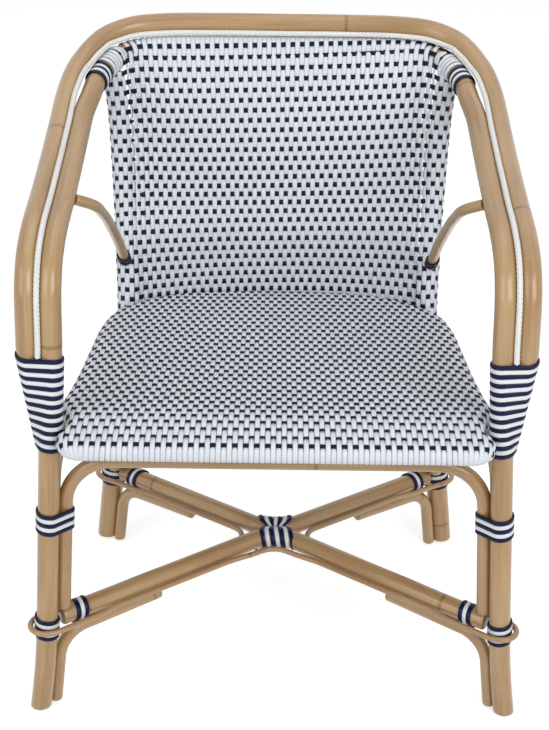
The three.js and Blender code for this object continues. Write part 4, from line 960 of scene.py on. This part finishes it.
# A navy strand with a white one between its loops
def pair_of(label, place, circles, start, navy_loops, turned, both=True, width=BINDING_WIDTH, drawn=None):
    navy = winding(place, circles, start, navy_loops, turned)
    white = winding(place, circles, start + BINDING_PITCH, navy_loops - 1, turned)
    if drawn:
        navy, white = drawn(navy), drawn(white)
    binding(f"{label}_navy", navy, NAVY_BINDING, "binding_navy", both, width)
    # The CAD leaves out the white strand halfway up the rear legs
    white_name = f"{label}_white" + ("_right" if both else "")
    binding(f"{label}_white", white, WHITE_BINDING, "binding_white", both, width,
            white_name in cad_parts)


def level_place(axis):
    return lambda h, x, y: axis(h) + vec(x, y, 0)


def line_place(origin, direction):
    d = unit(direction)
    x = unit(np.cross(vec(0, 0, 1), d))
    y = np.cross(d, x)
    return lambda h, a, b: origin + d * h + x * a + y * b


BACK_TURN = 0.25
UNDER_TURN = 0.625
OUTER_TURN = 0.125


def wrap_circles(z):
    r = float(outer_radius(z))
    return [(0, 0, HOOP_R), (HOOP_R + r + ARISE_PAIR_GAP, 0, r + CLEARANCE)]


pair_of("arm_wrap", level_place(front_leg_axis), wrap_circles, ARM_WRAP_BOTTOM, ARM_WRAP_LOOPS, BACK_TURN)


def bundle(offsets, r):
    circles = [(0, 0, r)] + [(o[0], o[1], ARCH_R) for o in offsets]
    return lambda h: circles


BIND_HALF = 3 * BINDING_PITCH
front_bundle = bundle([arch_offset(HOOP_R, NEAR_DEGREES, 1), arch_offset(HOOP_R, FAR_DEGREES, 1)], HOOP_R)
rear_bundle = bundle([arch_offset(REAR_R, NEAR_DEGREES, -1), arch_offset(REAR_R, FAR_DEGREES, -1)], REAR_R)
pair_of("mid_binding_front", level_place(front_leg_axis), front_bundle, MID_BINDING_HEIGHT - BIND_HALF, 3,
        BACK_TURN)
pair_of("mid_binding_rear", level_place(rear_leg_axis), rear_bundle, MID_BINDING_HEIGHT - BIND_HALF, 3,
        BACK_TURN)


def single(r):
    return lambda h: [(0, 0, r)]


for label, axis, r, height in (("front", front_leg_axis, HOOP_R, FRONT_JOINT_HEIGHT),
                               ("rear", rear_leg_axis, REAR_R, REAR_JOINT_HEIGHT)):
    start = height + STRETCHER_R - CAD_STRAND_WIDTH / 2 - 2 * BIND_HALF
    pair_of(f"joint_binding_{label}", level_place(axis), single(r), start, 3, OUTER_TURN)

for label, arm in (("front", front_arm), ("rear", rear_arm)):
    along_arm = line_place(arm["leg"], arm["path"][1] - arm["leg"])
    pair_of(f"end_binding_{label}", along_arm, single(STRETCHER_R), binding_start(arm), 2, UNDER_TURN)


def depth_on(path, x):
    right = path[path[:, 0] >= -STRETCHER_R]
    order = np.argsort(right[:, 0])
    return float(np.interp(abs(x), right[order, 0], right[order, 1]))


SLOPE_REACH = 3


def cross_circles(h):
    out = []
    for path in (front_cross, rear_cross):
        change = depth_on(path, abs(h) + SLOPE_REACH) - depth_on(path, max(abs(h) - SLOPE_REACH, 0))
        slope = change / (2 * SLOPE_REACH)
        wide = STRETCHER_R * (math.hypot(1, slope) - 1)
        y = depth_on(path, h) - CROSS_DEPTH
        out += [(y + wide, 0, STRETCHER_R), (y - wide, 0, STRETCHER_R)]
    return out


# The strands draw together and dip in the groove between the two stretchers
CENTRE_SPREAD = 1.12
CENTRE_PINCH = 0.55
CENTRE_DIP = 4.5
CENTRE_GROOVE = 0.6 * STRETCHER_R


def cross_place(h, a, b):
    return vec(h, CROSS_DEPTH + a, CROSS_HEIGHT + b)


def into_groove(wound):
    centres, outward = wound
    run = lengths_of(centres)
    steps = np.linspace(0, run[-1], 4 * len(centres))
    p = np.stack([np.interp(steps, run, centres[:, i]) for i in range(3)], -1)
    n = unit(np.stack([np.interp(steps, run, outward[:, i]) for i in range(3)], -1))
    near = np.exp(-((p[:, 1] - CROSS_DEPTH) / CENTRE_GROOVE) ** 2)
    p[:, 0] *= CENTRE_SPREAD - CENTRE_PINCH * near
    p[:, 2] -= np.sign(p[:, 2] - CROSS_HEIGHT) * CENTRE_DIP * near
    return p, n


pair_of("centre_binding", cross_place, cross_circles, -4 * BINDING_PITCH, 4, UNDER_TURN,
        both=False, drawn=into_groove)

# Bindings round the inner hoop at the corners of the back
corner_path = half_fine[half_fine[:, 1] > HOOP_DEPTH / 3]
corner_lengths = lengths_of(corner_path)
post_run = corner_lengths[int(np.argmin(np.abs(corner_path[:, 0] - post_top[0])))]
CORNER_MARGIN = 8
SKIN_REACH = POST_R + CLEARANCE + BACK_SKIN + CORNER_MARGIN
CORNER_PROBE = 6


def corner_place(h, a, b):
    at = post_run - SKIN_REACH - (h - SKIN_REACH) * CORNER_STRETCH
    p = at_length(corner_path, at, corner_lengths)
    ahead = at_length(corner_path, at - CORNER_PROBE, corner_lengths)
    behind = at_length(corner_path, at + CORNER_PROBE, corner_lengths)
    d = unit(ahead - behind)
    x = unit(np.cross(vec(0, 0, 1), d))
    return p + x * a + np.cross(d, x) * b


# White strands of the back laid side by side round the hoop, from the binding to the corner of the sheet
ROLL_LOOPS = 5
ROLL_OVERLAP = 2
roll_start = SKIN_REACH - ROLL_LOOPS * BINDING_PITCH + ROLL_OVERLAP
corner_wound = winding(corner_place, single(HOOP_R), roll_start, ROLL_LOOPS, UNDER_TURN, BINDING_PITCH)
corner_roll = strand(*corner_wound, BINDING_WIDTH, BINDING_THICKNESS, FLAT_PROFILE)
piece("back_corner_roll_right", *corner_roll, WHITE_WEAVE, ["back_weave"], "woven_strand")
piece("back_corner_roll_left", *flipped(corner_roll), WHITE_WEAVE, ["back_weave"], "woven_strand")

pair_of("corner_binding", corner_place, single(HOOP_R), SKIN_REACH, 3, UNDER_TURN,
        width=BINDING_WIDTH * CORNER_STRETCH)

BRACE_BOUND_STEP = 75
brace_line = line_place(brace_end, brace_fine[BRACE_BOUND_STEP] - brace_end)
brace_wound = winding(brace_line, single(ARM_BRACE_R), BINDING_PITCH, 2, BACK_TURN)
binding("brace_binding_navy", brace_wound, NAVY_BINDING, "binding_navy")


# The strands lie this far inside the seat's skin
SEAT_WEAVE_IN = 1.8
SEAT_ROLL = SKIN_OUTER - SEAT_WEAVE_IN
ring_next = np.roll(seat_frame, -1, 0)
ring_step = (ring_next - seat_frame)[:, :2]
ring_out = unit(np.stack([ring_step[:, 1], -ring_step[:, 0]], -1))


# Where a point of the flat seat sheet comes to lie, which way it faces and how far out it is
def on_seat(x, y, lift):
    q = np.stack([x, y], -1)
    rel = q[:, None] - seat_frame[None, :, :2]
    t = np.clip((rel * ring_step).sum(-1) / (ring_step ** 2).sum(-1), 0, 1)
    near = seat_frame[None, :, :2] + ring_step * t[..., None]
    gap = np.linalg.norm(q[:, None] - near, axis=-1)
    best = gap.argmin(1)
    rows = np.arange(len(q))
    c = near[rows, best]
    away = q - c
    outside = (away * ring_out[best]).sum(-1) > 0
    d = np.where(outside, gap[rows, best], 0)
    out = np.where(d[:, None] > 0.01, away / np.maximum(gap[rows, best], 0.01)[:, None], ring_out[best])
    a = np.minimum(d / SEAT_ROLL, math.pi)
    tucked = np.maximum(d - math.pi * SEAT_ROLL, 0)
    base = np.where(outside[:, None], c, q)
    normal = np.column_stack([out * np.sin(a)[:, None], np.cos(a)])
    sag = SEAT_SAG * smoothstep(np.where(outside, 0, gap[rows, best]), 0, SEAT_DEPTH / 2)
    p = np.column_stack([base, seat_top(base[:, 1]) - SKIN_OUTER - sag])
    p[:, :2] += out * (np.sin(a) * SEAT_ROLL - tucked)[:, None] * outside[:, None]
    p[:, 2] += np.where(outside, np.cos(a), 1) * SEAT_ROLL
    return p + normal * np.asarray(lift)[:, None], normal, d


SEAT_TUCK = math.pi * SEAT_ROLL + 6
WARP_SPREAD = 264.0
FAN = 0.00025
FIRST_ROW_OUT = 6.5
SEAT_STEP = 5.0
SEAT_WARP_START = -92
SEAT_WARP_END = 484
SEAT_WEFT_HALF = 1.9
row_steps = np.where(np.arange(SEAT_ROWS - 1) < SEAT_FRONT_ROWS, SEAT_FRONT_PITCH, SEAT_ROW_PITCH)
row_depths = np.concatenate([[0], np.cumsum(row_steps)]) - POST_REACH - FIRST_ROW_OUT


def seat_warp_x(k, y):
    return (k + 0.5) * WARP_SPREAD / (SEAT_WARPS / 2) * (1 - FAN * y)


# The places along a lengthwise strand and its lift at each: level, over and under the rows, level again
def warp_course(rows, parity, head, tail, last_step):
    places, lifts = [head], [np.zeros(len(head))]
    for j, row in enumerate(rows):
        over = 1 if (parity + j) % 2 else -1
        after = rows[j + 1] if j + 1 < len(rows) else row + last_step
        places.append([row - CROSSING_HALF, row + CROSSING_HALF, (row + after) / 2])
        lifts.append([over * WEAVE_LIFT, over * WEAVE_LIFT, 0])
    return np.concatenate([*places, tail]), np.concatenate([*lifts, np.zeros(len(tail))])


def seat_weave_parts():
    warps, wefts = [], []
    reach = SEAT_WARPS // 2 + WRAP_COLUMNS
    head = np.arange(SEAT_WARP_START, row_depths[0] - 6, SEAT_STEP)
    tail = np.arange(row_depths[-1] + 12, SEAT_WARP_END, SEAT_STEP)
    for k in range(-reach, reach):
        y, lift = warp_course(row_depths, k, head, tail, SEAT_ROW_PITCH)
        p, n, d = on_seat(seat_warp_x(k, y), y, lift)
        runs = np.flatnonzero(d < SEAT_TUCK)
        if len(runs) < 4:
            continue
        inside = slice(runs[0], runs[-1] + 1)
        width = WARP_WIDTH * (1 - FAN * np.mean(y[inside]))
        warps.append(strand(p[inside], n[inside], width, WEAVE_THICKNESS, WEAVE_PROFILE))
    for j, y in enumerate(row_depths):
        xs, lifts = [], []
        for k in range(-reach, reach):
            over = -1 if (k + j) % 2 else 1
            middle = seat_warp_x(k, y)
            xs += [middle - SEAT_WEFT_HALF, middle + SEAT_WEFT_HALF]
            lifts += [over * WEAVE_LIFT] * 2
        x = np.array(xs)
        p, n, d = on_seat(x, np.full(len(x), y), lifts)
        runs = np.flatnonzero(d < SEAT_TUCK)
        inside = slice(runs[0], runs[-1] + 1)
        wefts.append(strand(p[inside], n[inside], WEFT_WIDTH, WEAVE_THICKNESS, WEAVE_PROFILE))
    return warps, wefts


seat_warps, seat_wefts = seat_weave_parts()
piece("seat_white_warps", *gathered(seat_warps), WHITE_WEAVE, ["seat_weave"], "woven_strand")
piece("seat_navy_wefts", *gathered(seat_wefts), NAVY_WEAVE, ["seat_weave"], "woven_strand")

# Woven back: where a point of its sheet comes to lie
between_posts = np.abs(inner_fine[:, 0]) <= post_top[0]
top_curve = inner_fine[between_posts & (inner_fine[:, 1] > HOOP_DEPTH / 2)][::-1]
post_curve = np.vstack([rail_end[None], rear_fine[rear_fine[:, 2] > BACK_RAIL_HEIGHT]])
post_curve_left = mirrored(post_curve)


# The stretched weave draws the middle of the sheet forward, nearly flat from post to post
SHEET_DRAW = 30.0
SHEET_EDGE = 6
DRAW_LOW = 1.5
DRAW_HIGH = 0.75


def draw_bell(w):
    return w ** DRAW_LOW * (1 - w) ** DRAW_HIGH


DRAW_PEAK = draw_bell(DRAW_LOW / (DRAW_LOW + DRAW_HIGH))


def panel(u, w, draw=SHEET_DRAW):
    u = np.clip(u, 0, 1)
    w = np.clip(w, 0, 1)
    drawn = draw * (1 - np.abs(2 * u - 1) ** SHEET_EDGE) * draw_bell(w) / DRAW_PEAK
    bottom, top = at_share(rail_curve, u), at_share(top_curve, u)
    left, right = at_share(post_curve_left, w), at_share(post_curve, w)
    u, w = u[:, None], w[:, None]
    corners = [(rail_curve[0], (1 - u) * (1 - w)), (rail_curve[-1], u * (1 - w)),
               (top_curve[0], (1 - u) * w), (top_curve[-1], u * w)]
    blend = bottom * (1 - w) + top * w + left * (1 - u) + right * u
    return blend - sum(c * share for c, share in corners) - drawn[:, None] * vec(0, 1, 0)


# How far the turned weave stands off the axes of the posts, the hoop and the rail
WEAVE_STAND = 1.5
TOP_WEAVE_STAND = 1.3
POST_ROLL = POST_R + CLEARANCE + WEAVE_STAND
TOP_ROLL = HOOP_R + CLEARANCE + TOP_WEAVE_STAND
RAIL_ROLL = RAIL_R + CLEARANCE + WEAVE_STAND
BACK_LENGTH = float(lengths_of(panel(np.full(60, 0.5), np.linspace(0, 1, 60)))[-1])


# How far the strands lie in front of the sheet's middle, and how far its edges lift them further
SHEET_LIFT = 3
FULL_LIFT_SHARES = (0.1, 0.4)
POST_EASE = 14
RAIL_EASE = 12
SHEET_PROBE = 0.004


# The sheet's directions at a point, and how far its strands lie in front of it
def sheet_frame(u, w):
    ahead = panel(u + SHEET_PROBE, w, 0) - panel(u - SHEET_PROBE, w, 0)
    rising = panel(u, w + SHEET_PROBE, 0) - panel(u, w - SHEET_PROBE, 0)
    lift = SHEET_LIFT + (POST_ROLL - SHEET_LIFT) * smoothstep(w, *FULL_LIFT_SHARES)
    edge = np.minimum(u, 1 - u) * BACK_COLUMNS * COLUMN_PITCH
    lift = lift + (POST_ROLL - lift) * np.exp(-(edge / POST_EASE) ** 2)
    lift = lift + (RAIL_ROLL - lift) * np.exp(-(w * BACK_LENGTH / RAIL_EASE) ** 2)
    return ahead, rising, unit(np.cross(ahead, rising)), lift


# Columns stand evenly across the sheet at every height: a table says where each share of them goes
TABLE_COLUMNS = 80
TABLE_ROWS = 40
table_u = np.linspace(0, 1, TABLE_COLUMNS + 1)
column_table = []
for height_share in np.linspace(0, 1, TABLE_ROWS + 1):
    table_w = np.full(len(table_u), height_share)
    table_normal, table_lift = sheet_frame(table_u, table_w)[2:]
    front_x = np.maximum.accumulate(panel(table_u, table_w)[:, 0] + table_normal[:, 0] * table_lift)
    front_share = (front_x - front_x[0]) / (front_x[-1] - front_x[0])
    column_table.append(np.interp(table_u, front_share, table_u))
column_table = np.array(column_table)


def even_column(u, w):
    place = np.clip(w, 0, 1) * TABLE_ROWS
    low = np.minimum(place.astype(int), TABLE_ROWS - 1)
    part = place - low
    spot = np.clip(u, 0, 1) * TABLE_COLUMNS
    left = np.minimum(spot.astype(int), TABLE_COLUMNS - 1)
    rest = spot - left
    lower = column_table[low, left] * (1 - rest) + column_table[low, left + 1] * rest
    upper = column_table[low + 1, left] * (1 - rest) + column_table[low + 1, left + 1] * rest
    return np.where((u < 0) | (u > 1), u, lower * (1 - part) + upper * part)


# Heights up the sheet, and how much a row climbs, sinks and rises there
ROW_CLIMB = ([0, 350], [3.7, 6.6])
ROW_SINK = ([40, 190], [10, -1.5])
ROW_RISE = ([0, 200], [11.5, 9])
COURSE_END = 1.06
COURSE_EASE = 40


# A hand-woven row strays from level: it climbs to the right and lifts or sinks beside the posts
def course(u, v):
    t = np.clip(2 * u - 1, -COURSE_END, COURSE_END)
    climb, sink, rise = (np.interp(v, *line) for line in (ROW_CLIMB, ROW_SINK, ROW_RISE))
    return climb * t - sink * t ** 2 + rise * t ** 6


TOP_EASE = 30


# c counts columns from the left post, v is the height up the middle of the sheet
def on_back(c, v, lift):
    c = np.asarray(c, float)
    v = np.asarray(v, float)
    u = (c + 0.5) / BACK_COLUMNS
    v = v + course(u, v) * smoothstep(v, 0, COURSE_EASE)
    w = v / BACK_LENGTH
    u = even_column(u, w)
    uc = np.clip(u, 0, 1)
    wc = np.clip(w, 0, 1)
    ahead, rising, normal, sheet_lift = sheet_frame(uc, wc)
    base = panel(uc, wc)
    beyond_x = (np.clip(u, None, 0) + np.clip(u - 1, 0, None)) * BACK_COLUMNS * COLUMN_PITCH
    beyond_z = np.clip(v, None, 0) + np.clip(v - BACK_LENGTH, 0, None)
    a = (beyond_x / POST_ROLL)[:, None]
    b = (beyond_z / np.where(beyond_z > 0, TOP_ROLL, RAIL_ROLL))[:, None]
    sideward = unit(ahead - normal * (ahead * normal).sum(-1)[:, None])
    upward = unit(rising - normal * (rising * normal).sum(-1)[:, None])
    round_post = normal * np.cos(a) + sideward * np.sin(a)
    round_rail = normal * np.cos(b) + upward * np.sin(b)
    turned = np.where((beyond_z != 0)[:, None], round_rail, round_post)
    reach = np.where(beyond_z > 0, TOP_ROLL, np.where(beyond_z < 0, RAIL_ROLL, sheet_lift))
    reach = np.where(beyond_x != 0, POST_ROLL, reach)
    top_ease = smoothstep(v, BACK_LENGTH - TOP_EASE, BACK_LENGTH)
    reach = np.where(beyond_z == 0, reach + (TOP_ROLL - reach) * top_ease, reach)
    return base + turned * (reach + np.asarray(lift))[:, None], turned


# Rows of navy strands, from the top down, a little closer towards the seat
TOP_ROW_GAP = -6.5
FIRST_BACK_STEP = 14.4
BACK_STEP_RANGE = (14.3, 12.45)
LAST_BACK_STEP = 12.4
LOWEST_ROW_MOST = 14
back_steps = np.concatenate([[FIRST_BACK_STEP], np.linspace(*BACK_STEP_RANGE, 25)])
back_rows = BACK_LENGTH - TOP_ROW_GAP - np.concatenate([[0], np.cumsum(back_steps)])
while back_rows[-1] > LOWEST_ROW_MOST:
    back_rows = np.append(back_rows, back_rows[-1] - LAST_BACK_STEP)

# The lengthwise strands: steps of their level ends, and how far these turn round the rail and the hoop
BACK_STEP = 4.0
RAIL_TURN = 2.6
TOP_TURN = 3.4
BACK_WEFT_HALF_SHARE = 0.3
END_MARGIN = 2


def back_weave_parts():
    warps, wefts = [], []
    rows = back_rows[::-1]
    columns = range(-WRAP_COLUMNS, BACK_COLUMNS + WRAP_COLUMNS)
    head = np.arange(-RAIL_ROLL * RAIL_TURN, rows[0] - 5, BACK_STEP)
    tail = np.arange(rows[-1] + 10, BACK_LENGTH + TOP_ROLL * TOP_TURN, BACK_STEP)
    for k in columns:
        v, lift = warp_course(rows, k + len(rows), head, tail, 12)
        if k < 0 or k >= BACK_COLUMNS:
            keep = (v > END_MARGIN) & (v < BACK_LENGTH - HOOP_R - END_MARGIN)
            v, lift = v[keep], lift[keep]
        p, n = on_back(np.full(len(v), k), v, lift)
        warps.append(strand(p, n, BACK_WARP_WIDTH, WEAVE_THICKNESS, WEAVE_PROFILE))
    # Known fault: above the sheet's top a row's points past the posts fall on one another, so the ends
    # of the two top rows have no direction and their points aren't finite.
    for j, v in enumerate(rows):
        cs, lifts = [], []
        for k in columns:
            over = -1 if (k + len(rows) - j) % 2 else 1
            cs += [k - BACK_WEFT_HALF_SHARE, k + BACK_WEFT_HALF_SHARE]
            lifts += [over * WEAVE_LIFT] * 2
        p, n = on_back(cs, np.full(len(cs), v), lifts)
        wefts.append(strand(p, n, BACK_WEFT_WIDTH, WEAVE_THICKNESS, WEAVE_PROFILE))
    return warps, wefts


back_warps, back_wefts = back_weave_parts()
piece("back_white_warps", *gathered(back_warps), WHITE_WEAVE, ["back_weave"], "woven_strand")
piece("back_navy_wefts", *gathered(back_wefts), NAVY_WEAVE, ["back_weave"], "woven_strand")

# Glides: low domed discs under the feet
DISC_SIDES = 32
GLIDE_R = GLIDE_DIAMETER / 2
GLIDE_OUTLINE = [(GLIDE_R - 2.2, 0), (GLIDE_R - 0.9, 0.35), (GLIDE_R - 0.2, 1.2), (GLIDE_R, 2.1),
                 (GLIDE_R - 0.3, 2.7), (GLIDE_R - 1, GLIDE_HEIGHT)]
disc_angles = np.linspace(0, 2 * math.pi, DISC_SIDES, endpoint=False)
disc = np.vstack([np.column_stack([r * np.cos(disc_angles), r * np.sin(disc_angles), 0 * disc_angles + z])
                  for r, z in GLIDE_OUTLINE])
disc_skin = capped(*skin((len(GLIDE_OUTLINE), DISC_SIDES), np.linspace(0, 60, DISC_SIDES + 1),
                         np.arange(len(GLIDE_OUTLINE)) * 1.5), len(GLIDE_OUTLINE), DISC_SIDES)
for label, foot in (("front", front_leg_axis(0)), ("rear", rear_leg_axis(0))):
    for side_name, sign in (("right", 1), ("left", -1)):
        points = disc + vec(sign * foot[0], foot[1], 0)
        piece(f"glide_{label}_{side_name}_disc", points, *disc_skin, NYLON,
              [f"glide_{label}_{side_name}"], "glide")


# One for the rays that show the background: straight ones, mirrored ones and those through glass
def background_rays(tree):
    path = node(tree, "ShaderNodeLightPath")
    straight = node(tree, "ShaderNodeMath",
                    {0: path.outputs["Is Camera Ray"], 1: path.outputs["Is Glossy Ray"]},
                    operation="MAXIMUM")
    return node(tree, "ShaderNodeMath",
                {0: straight.outputs["Value"], 1: path.outputs["Is Transmission Ray"]}, operation="MAXIMUM")


# Studio: a pale floor that reads white to the camera and keeps the chair's soft shadow
def studio_floor():
    mesh = bpy.data.meshes.new("floor")
    mesh.from_pydata([(-12, -8, 0), (12, -8, 0), (12, 16, 0), (-12, 16, 0)], [], [(0, 1, 2, 3)])
    floor = bpy.data.objects.new("floor", mesh)
    bpy.context.scene.collection.objects.link(floor)
    material, tree = new_material("pale_studio_floor")
    looked = background_rays(tree)
    diffuse = node(tree, "ShaderNodeBsdfDiffuse", None, {"Color": grey(0.82)})
    glow = node(tree, "ShaderNodeEmission", None, {"Color": grey(1.0), "Strength": 0.60})
    both = node(tree, "ShaderNodeAddShader", {0: diffuse.outputs["BSDF"], 1: glow.outputs["Emission"]})
    seen = node(tree, "ShaderNodeMixShader",
                {"Fac": looked.outputs["Value"], 1: diffuse.outputs["BSDF"], 2: both.outputs["Shader"]})
    node(tree, "ShaderNodeOutputMaterial", {"Surface": seen.outputs["Shader"]})
    mesh.materials.append(material)


def area_light(name, place, target, size, watts):
    data = bpy.data.lights.new(name, "AREA")
    data.shape = "RECTANGLE"
    data.size, data.size_y = size
    data.energy = watts
    lamp = bpy.data.objects.new(name, data)
    bpy.context.scene.collection.objects.link(lamp)
    lamp.location = place
    aim = np.array(target) - np.array(place)
    lamp.rotation_mode = "QUATERNION"
    lamp.rotation_quaternion = Vector(aim).to_track_quat("-Z", "Y")


studio_floor()
area_light("key_right", (1.7, -2.7, 2.0), (0, 0, 0.45), (2.0, 2.0), 52)
area_light("fill_left", (-2.2, -2.3, 1.9), (0, 0, 0.45), (2.2, 2.2), 32)
area_light("top", (0, 0.3, 3.0), (0, 0, 0.4), (2.6, 2.6), 16)

world = bpy.data.worlds.new("studio_world")
bpy.context.scene.world = world
world.use_nodes = True
world.node_tree.nodes.clear()
sky = node(world.node_tree, "ShaderNodeBackground", None, {"Color": grey(1.0), "Strength": 0.40})
backdrop = node(world.node_tree, "ShaderNodeBackground", None, {"Color": grey(1.0), "Strength": 1.0})
shown = node(world.node_tree, "ShaderNodeMixShader",
             {"Fac": background_rays(world.node_tree).outputs["Value"], 1: sky.outputs["Background"],
              2: backdrop.outputs["Background"]})
node(world.node_tree, "ShaderNodeOutputWorld", {"Surface": shown.outputs["Shader"]})
bpy.context.scene.view_settings.view_transform = "Standard"

# Camera where the photograph was taken
camera_data = bpy.data.cameras.new("camera")
SENSOR_WIDTH = 36
LENS = 78.9
CAMERA_PLACE = (-0.003, -1.9476, 1.342)
PITCH = math.radians(90 - 26.2)
ROLL = math.radians(0.75)
camera_data.sensor_width = SENSOR_WIDTH
camera_data.lens = LENS
camera = bpy.data.objects.new("camera", camera_data)
bpy.context.scene.collection.objects.link(camera)
camera.location = CAMERA_PLACE
camera.rotation_mode = "QUATERNION"
camera.rotation_quaternion = Euler((PITCH, 0, 0)).to_quaternion() @ Quaternion((0, 0, 1), ROLL)
bpy.context.scene.camera = camera
